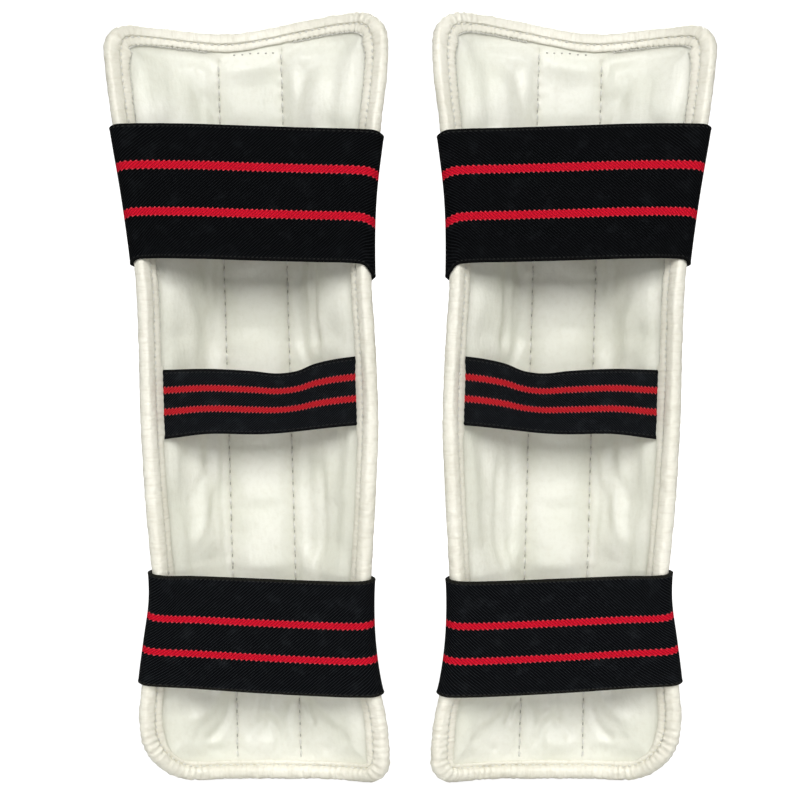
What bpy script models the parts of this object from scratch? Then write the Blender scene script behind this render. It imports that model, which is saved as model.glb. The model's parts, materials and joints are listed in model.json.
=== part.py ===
"""A pair of padded shin guards with elastic straps, standing on their lower edges as they are worn.

Each guard is three long padded channels joined along two quilted seams: the shin panel in the
middle and a wing on either side that curves back round the leg. Every channel is a lining sheet,
a foam pad and a cover sheet. A rolled edge binds the outline. Three elastic straps run across the
open back: the calf and ankle straps wrap round the rolled edges to the front, and the narrow
middle strap is sewn inside them.

Dimensions are in millimetres; world() turns them into metres. +Z is up the leg, +Y points to the
front (the padded channels) and -Y to the back (the straps). The left guard is on the -X side.
The origin is on the floor, between the guards.

A place on a guard is given by three distances and a share:
  across  from the guard's centre line towards the edge of a wing
  fore    from the lining plane towards the front
  z       height
  part    position over a wing's curve, 0 at the seam and 1 at the middle of the rolled edge
"""

import math
from collections import namedtuple

import bmesh
import bpy
from mathutils import Vector

MM = 0.001

# ---------------------------------------------------------------- outline (mm)
RIB_FOOT_X = 69.9  # from the pair's middle to a shin panel's centre line at the floor
RIB_LEAN = 0.0286  # outward lean of the centre line, per mm of height
LINING_Y = 14.0  # lining plane at the seams
SEAM_ACROSS = 15.75  # quilted seams, either side of the centre line
SEAM_GAP = 1.0  # free width on either side of a seam line
MID_Z = 190.0  # middle of the height, where the seam axes sit

# height, outer half width, inner half width, depth of the rolled edge behind the lining plane
STATIONS = (
    (0, 59.5, 60.5, 13.5),
    (33, 62, 59.5, 19.5),
    (53, 59.5, 55.5, 23.5),
    (73, 56, 53.5, 27),
    (93, 52.5, 53.5, 30),
    (112, 52.5, 55, 32),
    (141, 54, 57.5, 34.5),
    (180, 55, 60, 36),
    (218, 55, 59.5, 36),
    (247, 55.5, 58.5, 35),
    (286, 60, 60, 30.5),
    (325, 66, 65.5, 26),
    (356, 69.5, 69.5, 21),
    (381, 70.5, 69.5, 17.5),
)
WIDTH_COLUMN = {"outer": 1, "inner": 2}
DEPTH_COLUMN = 3
# top edge: distance from the centre line (outer side negative), height
TOP_EDGE = (
    (-70, 374.3), (-45, 374.3), (-19, 372.6), (-9, 372.6), (0, 373.6),
    (15, 376.4), (30, 379), (46, 381), (70, 381),
)
TOP_CORNER_R = {"outer": 10.0, "inner": 12.0}
LOW_CORNER_R = {"outer": 27.0, "inner": 13.0}
AWAY = {"outer": -1, "inner": 1}  # sign of a wing's across direction

# a wing's section is a quadratic curve; its middle control point lies at these shares
BEND_ACROSS = 0.60  # of the wing's reach
BEND_BACK = 0.12  # of the rolled edge's depth

# ---------------------------------------------------------------- padding (mm)
SKIN = 1.2  # lining and cover sheets
CLEAR = 0.3  # gap between neighbouring pieces
SEAM_T = 3.5  # thickness of the guard at a seam
SHIN_T = 16.0  # thickness of the shin panel at its crest
WING_T = 13.0  # thickness of a wing at its crest
EDGE_T = 8.0  # thickness of a wing where it meets the rolled edge
SHIN_BACK_SHARE = 0.2  # share of the added thickness that goes to the lining side
WING_BACK_SHARE = 0.25
END_FADE_LENGTH = 20  # over which a pad thins towards its end
END_FADE_LEAST = 0.35  # share of the added thickness left at the end

WING_COLUMNS = 6
SHIN_COLUMNS = 6
WING_CROWDING = 0.35  # how far columns crowd to a panel's sides: 0 even, 1 cosine spacing
SHIN_CROWDING = 0.5
# heights of the rows between a pad's two ends; the strap edges fall on wing rows
WING_ROWS = (18, 28, 48.5, 66, 85, 104, 136, 172, 203, 230, 256, 278, 300, 322, 345, 357)
SHIN_ROWS = (17, 30, MID_Z, 348, 360)

# ---------------------------------------------------------------- rolled edge and thread (mm)
RIM_R = 4.75
RIM_SIDES = 8
RIM_END_SCALE = 0.6  # radius at a tapered end
RIM_TAPER = 2.0  # length of a tapered end
RIM_START = SEAM_GAP + CLEAR  # from a seam to the end of the rolled edge
RIM_CORNER_INSET = 0.8 * RIM_R  # taken off a corner radius for the middle of the rolled edge
RIM_FOOT_Z = RIM_R * math.cos(math.pi / RIM_SIDES)  # the lowest flat rests on the floor
RIM_TOP_MEASURE_Z = 368  # heights at which the top and bottom runs are measured
RIM_LOW_MEASURE_Z = 8
RIM_SIDE_ROWS = WING_ROWS[2:-1]
TOP_CORNER_STEPS = 4
LOW_CORNER_STEPS = {"outer": 5, "inner": 4}

PAD_INSET = 5.3  # from the middle of the rolled edge to the end of the pad
PAD_LOW_Z = RIM_FOOT_Z + PAD_INSET
PAD_TOP_Z = 374.0 - RIM_R - PAD_INSET  # nominal, before following the top edge
PAD_CORNER_LEAST_R = 3.0
PAD_TOP_MEASURE_Z = 360  # heights at which pad corners are measured
PAD_LOW_MEASURE_Z = 15

THREAD_R = 0.5
THREAD_SIDES = 8
THREAD_FORE = 0.6
THREAD_LOW_GAP = 1  # from the rolled edge to the end of a thread
THREAD_TOP_GAP = 2

# ---------------------------------------------------------------- straps (mm)
STRAP_OFF = 5.75  # inner face of a wrapped strap, from the middle of the rolled edge
STRAP_LIFT = 0.65  # inner face of a wrapped strap, above the cover
WRAP_START = 0.55  # part of the wing at which a wrapped strap starts
WRAP_FADE_PART = 0.7  # part whose pad ends set the fade under a wrapped strap
SPAN_GAP = 5.0  # between an end piece and the strap's span
TAB_OUT = 10.2  # outer edge of the middle strap's tabs, from the outline
MIDDLE_FORE = 0.6  # back face of the middle strap, in front of the rolled edge's middle

# lower edge, upper edge, thickness, inner edge of an end piece measured from the outline
Strap = namedtuple("Strap", "low high thick end_in")
STRAPS = {
    "calf": Strap(low=256.0, high=322.0, thick=1.6, end_in=13.75),
    "middle": Strap(low=172.0, high=203.0, thick=1.4, end_in=17.0),
    "ankle": Strap(low=48.5, high=104.0, thick=1.6, end_in=13.75),
}
# wing rows keep their heights between these two
FIXED_LOW_Z = STRAPS["ankle"].low
FIXED_TOP_Z = STRAPS["calf"].high

# ---------------------------------------------------------------- materials
SHARP_ANGLE = math.radians(40)
# base colour, roughness
FINISHES = {
    "cover": ((0.80, 0.80, 0.74), 0.38),
    "lining": ((0.78, 0.79, 0.72), 0.42),
    "edging": ((0.82, 0.81, 0.75), 0.40),
    "foam": ((0.85, 0.82, 0.70), 0.90),
    "webbing": ((0.010, 0.012, 0.014), 0.85),
    "thread": ((0.74, 0.74, 0.68), 0.70),
}


def material(kind):
    name = "mat_" + kind
    found = bpy.data.materials.get(name)
    if found:
        return found
    colour, roughness = FINISHES[kind]
    made = bpy.data.materials.new(name)
    made.use_nodes = True
    shader = made.node_tree.nodes["Principled BSDF"]
    shader.inputs["Base Color"].default_value = (*colour, 1)
    shader.inputs["Roughness"].default_value = roughness
    shader.inputs["Metallic"].default_value = 0
    made.diffuse_color = (*colour, 1)
    return made


# ---------------------------------------------------------------- numbers
def smooth(x):
    x = min(1.0, max(0.0, x))
    return x * x * (3 - 2 * x)


def spread(start, end, steps):
    """Evenly spaced values from start to end, both included."""
    return [start + (end - start) * k / steps for k in range(steps + 1)]


def crowded(count, crowding):
    """Values from 0 to 1 that crowd towards both ends."""
    return [
        crowding * 0.5 * (1 - math.cos(math.pi * k / count)) + (1 - crowding) * k / count
        for k in range(count + 1)
    ]


def along(table, x, column=1):
    """Reads a table of rows at x, with a cubic curve that passes through every row."""
    if x <= table[0][0]:
        return float(table[0][column])
    if x >= table[-1][0]:
        return float(table[-1][column])
    i = max(k for k in range(len(table) - 1) if table[k][0] <= x)
    x0, x1 = table[i][0], table[i + 1][0]
    y0, y1 = table[i][column], table[i + 1][column]
    before = table[max(i - 1, 0)]
    after = table[min(i + 2, len(table) - 1)]
    slope0 = (y1 - before[column]) / (x1 - before[0])
    slope1 = (after[column] - y0) / (after[0] - x0)
    step = x1 - x0
    t = (x - x0) / step
    return (
        (2 * t**3 - 3 * t**2 + 1) * y0
        + (t**3 - 2 * t**2 + t) * step * slope0
        + (-2 * t**3 + 3 * t**2) * y1
        + (t**3 - t**2) * step * slope1
    )


# ---------------------------------------------------------------- shape of a guard
def rib_x(z):
    """The left guard's centre line."""
    return -(RIB_FOOT_X + RIB_LEAN * z)


def world(side, wing, across, fore, z):
    """A place on a guard as a point of the pair's frame, in metres."""
    return Vector((side * (rib_x(z) + AWAY[wing] * across), LINING_Y + fore, z)) * MM


def half_width(wing, z):
    return along(STATIONS, z, WIDTH_COLUMN[wing])


def depth(z):
    return along(STATIONS, z, DEPTH_COLUMN)


def top_height(wing, across):
    return along(TOP_EDGE, AWAY[wing] * across)


def wing_curve(wing, part, z):
    """Middle of a wing's thickness: the point and the unit normal to the front, (across, fore)."""
    reach = half_width(wing, z) - RIM_R - SEAM_ACROSS
    back = depth(z)
    middle = SEAM_T / 2
    seam = (SEAM_ACROSS, middle)
    bend = (SEAM_ACROSS + BEND_ACROSS * reach, middle - BEND_BACK * back)
    edge = (SEAM_ACROSS + reach, -back)
    rest = 1 - part
    controls = list(zip(seam, bend, edge))
    point = [rest**2 * a + 2 * rest * part * b + part**2 * c for a, b, c in controls]
    slope = [2 * rest * (b - a) + 2 * part * (c - b) for a, b, c in controls]
    size = math.hypot(*slope)
    return point, (-slope[1] / size, slope[0] / size)


def wing_length(wing, z):
    points = [wing_curve(wing, part, z)[0] for part in spread(0, 1, 12)]
    return sum(math.dist(a, b) for a, b in zip(points, points[1:]))


def end_fade(z, low, high):
    """Pads thin out towards their two ends."""
    rise = smooth(min(z - low, high - z) / END_FADE_LENGTH)
    return END_FADE_LEAST + (1 - END_FADE_LEAST) * rise


def wing_thickness(part, fade):
    """Thin at the seam, full in the middle, EDGE_T where it meets the rolled edge."""
    rise = min(1.0, 1.25 * math.sin(math.pi * min(part, 0.5)) ** 0.7)
    full = SEAM_T + (WING_T - SEAM_T) * rise * fade
    return full + (EDGE_T - full) * smooth((part - 0.55) / 0.4)


def wing_surface(wing, part, z, ends, place):
    """A point (across, fore) in a wing's thickness; place picks it from the two face offsets."""
    point, normal = wing_curve(wing, part, z)
    extra = wing_thickness(part, end_fade(z, *ends)) - SEAM_T
    offset = place(
        -(SEAM_T / 2 + WING_BACK_SHARE * extra),
        SEAM_T / 2 + (1 - WING_BACK_SHARE) * extra,
    )
    return point[0] + normal[0] * offset, point[1] + normal[1] * offset


def pad_corner_drop(wing, part, corner_r, z):
    """How far a pad's end is set back at a rounded corner."""
    radius = max(PAD_CORNER_LEAST_R, corner_r - RIM_CORNER_INSET - PAD_INSET)
    from_side = (1 - part) * wing_length(wing, z) - PAD_INSET
    if from_side >= radius:
        return 0.0
    reach = radius - max(0.0, from_side)
    return radius - math.sqrt(radius**2 - reach**2)


def wing_ends(wing, part):
    """Lowest and highest point of a wing's pad."""
    across = wing_curve(wing, part, PAD_TOP_MEASURE_Z)[0][0]
    low_drop = pad_corner_drop(wing, part, LOW_CORNER_R[wing], PAD_LOW_MEASURE_Z)
    top_drop = pad_corner_drop(wing, part, TOP_CORNER_R[wing], PAD_TOP_MEASURE_Z)
    return PAD_LOW_Z + low_drop, top_height(wing, across) - RIM_R - PAD_INSET - top_drop


def wing_rows(low, high):
    """Heights of a wing's rows: fixed in the middle, shifted to meet the pad's two ends."""
    rows = [low]
    for z in WING_ROWS:
        low_share = max(0.0, (FIXED_LOW_Z - z) / (FIXED_LOW_Z - PAD_LOW_Z))
        top_share = max(0.0, (z - FIXED_TOP_Z) / (PAD_TOP_Z - FIXED_TOP_Z))
        shift = (low - PAD_LOW_Z) * min(1.0, low_share) + (high - PAD_TOP_Z) * min(1.0, top_share)
        rows.append(z + shift)
    return rows + [high]


# back and front face of each layer, from the offsets of the panel's back and front
LAYERS = {
    "lining": (lambda back, front: back, lambda back, front: back + SKIN),
    "foam": (
        lambda back, front: back + SKIN + CLEAR,
        lambda back, front: front - SKIN - CLEAR,
    ),
    "cover": (lambda back, front: front - SKIN, lambda back, front: front),
}


# ---------------------------------------------------------------- mesh making
def finish(name, bm, kind, parent):
    """Makes the object, with its origin at the mean of its points."""
    origin = sum((vert.co for vert in bm.verts), Vector()) / len(bm.verts)
    bmesh.ops.recalc_face_normals(bm, faces=bm.faces)
    bmesh.ops.translate(bm, vec=-origin, verts=bm.verts)
    mesh = bpy.data.meshes.new(name)
    bm.to_mesh(mesh)
    bm.free()
    mesh.shade_smooth()
    mesh.set_sharp_from_angle(angle=SHARP_ANGLE)
    mesh.materials.append(material(kind))
    obj = bpy.data.objects.new(name, mesh)
    bpy.context.collection.objects.link(obj)
    obj.parent = parent
    obj.location = origin - parent.location


def border(grid):
    """The outermost points of a grid, in order round it."""
    right = [row[-1] for row in grid[1:]]
    left = [row[0] for row in grid[-2:0:-1]]
    return grid[0] + right + grid[-1][-2::-1] + left


def slab(name, kind, parent, front, back):
    """A closed sheet between two grids of points of the same size."""
    bm = bmesh.new()
    front = [[bm.verts.new(point) for point in row] for row in front]
    back = [[bm.verts.new(point) for point in row] for row in back]
    for i in range(len(front) - 1):
        for j in range(len(front[0]) - 1):
            bm.faces.new((front[i][j], front[i][j + 1], front[i + 1][j + 1], front[i + 1][j]))
            bm.faces.new((back[i][j], back[i + 1][j], back[i + 1][j + 1], back[i][j + 1]))
    front_rim, back_rim = border(front), border(back)
    for k in range(len(front_rim)):
        n = (k + 1) % len(front_rim)
        bm.faces.new((front_rim[k], back_rim[k], back_rim[n], front_rim[n]))
    finish(name, bm, kind, parent)


def tube(name, kind, parent, rings):
    """A closed solid through a row of rings of the same size."""
    bm = bmesh.new()
    loops = [[bm.verts.new(point) for point in ring] for ring in rings]
    sides = len(loops[0])
    for a, b in zip(loops, loops[1:]):
        for k in range(sides):
            n = (k + 1) % sides
            bm.faces.new((a[k], a[n], b[n], b[k]))
    bm.faces.new(list(reversed(loops[0])))
    bm.faces.new(loops[-1])
    finish(name, bm, kind, parent)


def rolled_edge(name, parent, centres, facings):
    """A rolled edge with tapered ends, its flats turned to the facings and never below z = 0."""
    rings = []
    last = len(centres) - 1
    for i, (centre, facing) in enumerate(zip(centres, facings)):
        tangent = (centres[min(i + 1, last)] - centres[max(i - 1, 0)]).normalized()
        normal = (facing - tangent * facing.dot(tangent)).normalized()
        sideways = tangent.cross(normal).normalized()
        radius = RIM_R * MM * (RIM_END_SCALE if i in (0, last) else 1)
        ring = []
        for k in range(RIM_SIDES):
            angle = math.pi * (2 * k + 1) / RIM_SIDES
            point = centre + radius * (math.cos(angle) * normal + math.sin(angle) * sideways)
            point.z = max(point.z, 0.0)
            ring.append(point)
        rings.append(ring)
    tube(name, "edging", parent, rings)


def empty(name, place):
    made = bpy.data.objects.new(name, None)
    made.empty_display_size = 0.02
    bpy.context.collection.objects.link(made)
    made.location = place
    return made


# ---------------------------------------------------------------- wings
def wing_grid(side, wing, place):
    """One face of one layer of a wing, as rows of points."""
    mid_length = wing_length(wing, MID_Z)
    start = SEAM_GAP / mid_length
    columns = []
    for j, share in enumerate(crowded(WING_COLUMNS, WING_CROWDING)):
        if j < WING_COLUMNS:
            ends = wing_ends(wing, start + (1 - start) * share)
        else:
            ends = wing_ends(wing, 1 - PAD_INSET / mid_length)
        column = []
        for z in wing_rows(*ends):
            length = wing_length(wing, z)
            first, last = SEAM_GAP / length, 1 - PAD_INSET / length
            part = first + share * (last - first)
            across, fore = wing_surface(wing, part, z, ends, place)
            if j == 0:
                across = SEAM_ACROSS + SEAM_GAP
            column.append(world(side, wing, across, fore, z))
        columns.append(column)
    return list(zip(*columns))


def build_wing_layers(side, hand, wing, parent):
    for layer, (back_face, front_face) in LAYERS.items():
        front = wing_grid(side, wing, front_face)
        back = wing_grid(side, wing, back_face)
        slab(f"{hand}_{wing}_wing_{layer}", layer, parent, front, back)


def edging_path(wing):
    """Middle of the rolled edge as (part, z): along the top, down the side, along the bottom."""
    radius = TOP_CORNER_R[wing] - RIM_CORNER_INSET
    length = wing_length(wing, RIM_TOP_MEASURE_Z)
    first, turn = RIM_START / length, 1 - radius / length
    path = []
    for part in [first, first + RIM_TAPER / length] + spread(first, turn, 5)[2:]:
        across = wing_curve(wing, part, RIM_TOP_MEASURE_Z)[0][0]
        path.append((part, top_height(wing, across) - RIM_R))
    corner_z = path[-1][1] - radius
    for angle in spread(0, math.pi / 2, TOP_CORNER_STEPS)[1:]:
        part = turn + radius / length * math.sin(angle)
        path.append((part, corner_z + radius * math.cos(angle)))

    path += [(1.0, z) for z in reversed(RIM_SIDE_ROWS)]

    radius = LOW_CORNER_R[wing] - RIM_CORNER_INSET
    length = wing_length(wing, RIM_LOW_MEASURE_Z)
    first, turn = RIM_START / length, 1 - radius / length
    for angle in spread(0, math.pi / 2, LOW_CORNER_STEPS[wing]):
        part = turn + radius / length * math.cos(angle)
        path.append((part, RIM_FOOT_Z + radius - radius * math.sin(angle)))
    path += [(part, RIM_FOOT_Z) for part in reversed(spread(first, turn, 4)[1:4])]
    path += [(first + RIM_TAPER / length, RIM_FOOT_Z), (first, RIM_FOOT_Z)]
    return path


def build_wing_edging(side, hand, wing, parent):
    centres, facings = [], []
    for part, z in edging_path(wing):
        point, normal = wing_curve(wing, part, z)
        centres.append(world(side, wing, point[0], point[1], z))
        facings.append(Vector((side * AWAY[wing] * normal[0], normal[1], 0)))
    rolled_edge(f"{hand}_{wing}_wing_edging", parent, centres, facings)


# ---------------------------------------------------------------- shin panel
def shin_grid(side, place):
    """One face of one layer of the shin panel, as rows of points."""
    inside = SEAM_ACROSS - SEAM_GAP
    columns = []
    for share in crowded(SHIN_COLUMNS, SHIN_CROWDING):
        across = -inside + 2 * inside * share
        high = top_height("inner", across) - RIM_R - PAD_INSET
        puff = math.sin(math.pi * share) ** 0.6
        column = []
        for z in (PAD_LOW_Z, *SHIN_ROWS, high):
            extra = (SHIN_T - SEAM_T) * puff * end_fade(z, PAD_LOW_Z, high)
            offset = place(
                -(SEAM_T / 2 + SHIN_BACK_SHARE * extra),
                SEAM_T / 2 + (1 - SHIN_BACK_SHARE) * extra,
            )
            column.append(world(side, "inner", across, SEAM_T / 2 + offset, z))
        columns.append(column)
    return list(zip(*columns))


def build_shin_layers(side, hand, parent):
    for layer, (back_face, front_face) in LAYERS.items():
        front = shin_grid(side, front_face)
        back = shin_grid(side, back_face)
        slab(f"{hand}_shin_{layer}", layer, parent, front, back)


def build_shin_edging(side, hand, parent):
    run = SEAM_ACROSS - RIM_START
    left, right = (-run, -run + RIM_TAPER), (run - RIM_TAPER, run)
    runs = {
        "top": [(across, top_height("inner", across) - RIM_R) for across in (*left, 0, *right)],
        "bottom": [(across, RIM_FOOT_Z) for across in (*left, *right)],
    }
    for where, marks in runs.items():
        centres = [world(side, "inner", across, SEAM_T / 2, z) for across, z in marks]
        facings = [Vector((0, 1, 0))] * len(centres)
        rolled_edge(f"{hand}_shin_{where}_edging", parent, centres, facings)


def build_seam_thread(side, hand, wing, parent):
    """The quilting thread, on the leg side of a seam."""
    low = 2 * RIM_R + THREAD_LOW_GAP
    high = top_height(wing, SEAM_ACROSS) - 2 * RIM_R - THREAD_TOP_GAP
    angles = [2 * math.pi * k / THREAD_SIDES for k in range(THREAD_SIDES)]
    rings = []
    for z in (low, high):
        centre = world(side, wing, SEAM_ACROSS, THREAD_FORE, z)
        rings.append(
            [centre + THREAD_R * MM * Vector((math.cos(a), math.sin(a), 0)) for a in angles]
        )
    tube(f"{hand}_{wing}_seam_thread", "thread", parent, rings)


# ---------------------------------------------------------------- straps
def wrap_line(wing, z, end_in):
    """Inner face of a wrapped end: over the wing's front, round the rolled edge, to the back."""
    ends = wing_ends(wing, WRAP_FADE_PART)
    last = 1 - PAD_INSET / wing_length(wing, z)
    line = [
        wing_surface(wing, part, z, ends, lambda back, front: front + STRAP_LIFT)
        for part in spread(WRAP_START, last, 3)
    ]
    centre, normal = wing_curve(wing, 1.0, z)
    for angle in spread(math.atan2(normal[1], normal[0]), -math.pi / 2, 3):
        line.append(
            (centre[0] + STRAP_OFF * math.cos(angle), centre[1] + STRAP_OFF * math.sin(angle))
        )
    line.append((half_width(wing, z) - end_in, centre[1] - STRAP_OFF))
    return line


def offset_line(line, distance):
    """The line moved sideways, away from the guard."""
    moved = []
    for k, point in enumerate(line):
        before, after = line[max(k - 1, 0)], line[min(k + 1, len(line) - 1)]
        run, rise = after[0] - before[0], after[1] - before[1]
        size = math.hypot(run, rise)
        moved.append((point[0] - rise / size * distance, point[1] + run / size * distance))
    return moved


def build_wrapped_end(side, hand, wing, name, parent):
    strap = STRAPS[name]
    inner_grid, outer_grid = [], []
    for z in spread(strap.low, strap.high, 3):
        line = wrap_line(wing, z, strap.end_in)
        outer_line = offset_line(line, strap.thick)
        inner_grid.append([world(side, wing, *point, z) for point in line])
        outer_grid.append([world(side, wing, *point, z) for point in outer_line])
    slab(f"{hand}_{name}_strap_{wing}_end", "webbing", parent, outer_grid, inner_grid)


def flat_strap(full_name, parent, side, wing, name, limits, rows, columns):
    """A flat stretch of a strap; limits(z) gives its two ends across."""
    strap = STRAPS[name]
    back_grid, front_grid = [], []
    for z in spread(strap.low, strap.high, rows):
        if name == "middle":
            back = -depth(z) + MIDDLE_FORE
        else:
            back = -depth(z) - STRAP_OFF - strap.thick
        marks = spread(*limits(z), columns)
        back_grid.append([world(side, wing, across, back, z) for across in marks])
        front_grid.append([world(side, wing, across, back + strap.thick, z) for across in marks])
    slab(full_name, "webbing", parent, back_grid, front_grid)


def build_middle_tab(side, hand, wing, parent):
    def limits(z):
        edge = half_width(wing, z)
        return edge - TAB_OUT, edge - STRAPS["middle"].end_in

    name = f"{hand}_middle_strap_{wing}_end"
    flat_strap(name, parent, side, wing, "middle", limits, rows=1, columns=1)


def build_span(side, hand, name, parent):
    """The stretch of a strap between its two end pieces."""
    from_edge = STRAPS[name].end_in + SPAN_GAP

    def limits(z):
        return -(half_width("outer", z) - from_edge), half_width("inner", z) - from_edge

    full_name = f"{hand}_{name}_strap_span"
    flat_strap(full_name, parent, side, "inner", name, limits, rows=3, columns=4)


# ---------------------------------------------------------------- the pair
def build_guard(side, hand):
    body = empty(f"{hand}_guard_frame", world(side, "inner", 0, 0, 0))
    build_shin_layers(side, hand, body)
    build_shin_edging(side, hand, body)
    for wing in AWAY:
        build_seam_thread(side, hand, wing, body)

    for wing in AWAY:
        hinge_place = world(side, wing, SEAM_ACROSS, SEAM_T / 2, MID_Z)
        hinge = empty(f"{hand}_{wing}_seam_axis", hinge_place)
        build_wing_layers(side, hand, wing, hinge)
        build_wing_edging(side, hand, wing, hinge)
        for name in ("calf", "ankle"):
            build_wrapped_end(side, hand, wing, name, hinge)
        build_middle_tab(side, hand, wing, hinge)

    for name, strap in STRAPS.items():
        z = (strap.low + strap.high) / 2
        axis_place = world(side, "inner", 0, -depth(z) - STRAP_OFF, z)
        axis = empty(f"{hand}_{name}_strap_axis", axis_place)
        build_span(side, hand, name, axis)


for old in list(bpy.data.objects):
    bpy.data.objects.remove(old, do_unlink=True)

build_guard(1, "left")
build_guard(-1, "right")
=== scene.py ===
"""The looks of the pair of quilted shin guards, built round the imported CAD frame.

One guard is worked out in its own space, in millimetres: U runs across the guard from the middle of the shin
panel (the outer wing is negative), v from the lining plane to the front and z up the leg. The guard's sheets are
addressed by arc length a round the leg (same sign as U) and z. world() places the guard in the pair: side +1 is
the left guard, -1 the right one, which is its mirror image.
"""

import json
import math

import bpy
import numpy as np
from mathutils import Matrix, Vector

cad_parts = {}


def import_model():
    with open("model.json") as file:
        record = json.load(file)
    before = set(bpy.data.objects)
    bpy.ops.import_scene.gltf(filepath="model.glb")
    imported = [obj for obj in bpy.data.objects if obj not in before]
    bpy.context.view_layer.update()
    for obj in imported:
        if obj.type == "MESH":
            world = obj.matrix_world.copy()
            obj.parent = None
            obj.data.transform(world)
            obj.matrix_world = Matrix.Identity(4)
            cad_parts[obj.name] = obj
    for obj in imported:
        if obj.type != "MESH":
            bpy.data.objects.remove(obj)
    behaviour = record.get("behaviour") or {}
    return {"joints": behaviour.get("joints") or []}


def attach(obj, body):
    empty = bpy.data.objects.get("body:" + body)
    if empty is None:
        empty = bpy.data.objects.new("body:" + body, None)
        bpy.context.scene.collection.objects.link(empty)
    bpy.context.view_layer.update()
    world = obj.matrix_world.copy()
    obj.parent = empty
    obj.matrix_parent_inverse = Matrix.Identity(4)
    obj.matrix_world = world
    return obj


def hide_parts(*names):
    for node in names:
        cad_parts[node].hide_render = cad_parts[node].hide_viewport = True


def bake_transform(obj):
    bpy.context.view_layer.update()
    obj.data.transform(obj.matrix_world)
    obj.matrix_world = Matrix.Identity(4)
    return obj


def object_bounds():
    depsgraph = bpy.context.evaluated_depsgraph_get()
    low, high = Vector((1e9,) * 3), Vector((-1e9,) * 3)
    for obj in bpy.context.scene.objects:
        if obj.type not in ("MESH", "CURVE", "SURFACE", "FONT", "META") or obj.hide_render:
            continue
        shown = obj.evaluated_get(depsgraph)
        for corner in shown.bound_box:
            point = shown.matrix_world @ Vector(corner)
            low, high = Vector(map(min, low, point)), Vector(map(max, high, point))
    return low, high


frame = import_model()
CAD_LO, CAD_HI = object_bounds()

# ---------------------------------------------------------------- the guard's lines, from the record
JOINTS = {j["name"]: j for j in frame["joints"]}
HINGES = [JOINTS[f"left_{w}_wing_flex"] for w in ("outer", "inner")]
HINGE_Z = HINGES[0]["pos_m"][2] * 1000
SEAM_U = (HINGES[1]["pos_m"][0] - HINGES[0]["pos_m"][0]) * 500
LEAN = abs(HINGES[0]["axis"][0] / HINGES[0]["axis"][2])
RIB_FOOT = -(HINGES[1]["pos_m"][0] + HINGES[0]["pos_m"][0]) * 500 - LEAN * HINGE_Z
MID_V = 1.75  # the middle of the guard's thickness at a seam, in front of the lining plane
LINING_Y = HINGES[0]["pos_m"][1] * 1000 - MID_V

RIM_R = 4.75
# height, outer half width, inner half width, depth of the rolled edge behind the lining plane
STATIONS = np.array(
    (
        (0, 59.5, 60.5, 13.5),
        (33, 62, 59.5, 19.5),
        (53, 59.5, 55.5, 23.5),
        (73, 56, 53.5, 27),
        (93, 52.5, 53.5, 30),
        (112, 52.5, 55, 32),
        (141, 54, 57.5, 34.5),
        (180, 55, 60, 36),
        (218, 55, 59.5, 36),
        (247, 55.5, 58.5, 35),
        (286, 60, 60, 30.5),
        (325, 66, 65.5, 26),
        (356, 69.5, 69.5, 21),
        (381, 70.5, 69.5, 17.5),
    ),
    float,
)
TOP_EDGE = np.array(
    ((-70, 374.3), (-45, 374.3), (-19, 372.6), (-9, 372.6), (0, 373.6), (15, 376.4), (30, 379), (46, 381), (70, 381)),
    float,
)
CORNERS = {-1: (13.0, 27.0), 1: (14.5, 13.0)}  # outer and inner wing: top and bottom corner radii
WING = {-1: "outer", 1: "inner"}
FOOT = 4.8
PINCH = 5.2  # from the middle of the rolled edge to the end of the padded sheets
PINCH_ENDS = 3.4  # the same at the top and the bottom
HANDS = {1: "left", -1: "right"}


def smooth(x):
    x = np.clip(x, 0.0, 1.0)
    return x * x * (3 - 2 * x)


def hermite(table, x, column=1):
    """Reads a table of rows at x, with a curve that passes smoothly through every row."""
    xs, ys = table[:, 0], table[:, column]
    x = np.clip(np.asarray(x, float), xs[0], xs[-1])
    slopes = np.empty(len(xs))
    slopes[1:-1] = (ys[2:] - ys[:-2]) / (xs[2:] - xs[:-2])
    slopes[0] = (ys[1] - ys[0]) / (xs[1] - xs[0])
    slopes[-1] = (ys[-1] - ys[-2]) / (xs[-1] - xs[-2])
    i = np.clip(np.searchsorted(xs, x, side="right") - 1, 0, len(xs) - 2)
    h = xs[i + 1] - xs[i]
    t = (x - xs[i]) / h
    return (
        (2 * t**3 - 3 * t**2 + 1) * ys[i]
        + (t**3 - 2 * t**2 + t) * h * slopes[i]
        + (-2 * t**3 + 3 * t**2) * ys[i + 1]
        + (t**3 - t**2) * h * slopes[i + 1]
    )


def half_width(sign, z):
    """sign is an array or a number: negative for the outer wing."""
    return np.where(np.asarray(sign) < 0, hermite(STATIONS, z, 1), hermite(STATIONS, z, 2))


def depth(z):
    return hermite(STATIONS, z, 3)


def top_height(U):
    return hermite(TOP_EDGE, U)


def bezier(sign, z):
    reach, back = half_width(sign, z) - RIM_R - SEAM_U, depth(z)
    p0 = np.stack([np.full_like(reach, SEAM_U), np.full_like(reach, MID_V)], -1)
    p1 = np.stack([SEAM_U + 0.60 * reach, MID_V - 0.12 * back], -1)
    p2 = np.stack([SEAM_U + reach, -back], -1)
    return p0, p1, p2


KNOTS = np.linspace(0, 1, 25)


def arc_table(sign, z):
    p0, p1, p2 = bezier(sign, z)
    w = KNOTS[None, :, None]
    p = (1 - w) ** 2 * p0[:, None] + 2 * w * (1 - w) * p1[:, None] + w**2 * p2[:, None]
    step = np.linalg.norm(np.diff(p, axis=1), axis=-1)
    return np.concatenate([np.zeros((len(step), 1)), np.cumsum(step, axis=1)], axis=1)


LZ = np.arange(-20.0, 400.0, 2.0)
LENGTHS = {s: arc_table(np.full(len(LZ), s), LZ)[:, -1] for s in (-1, 1)}


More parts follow.
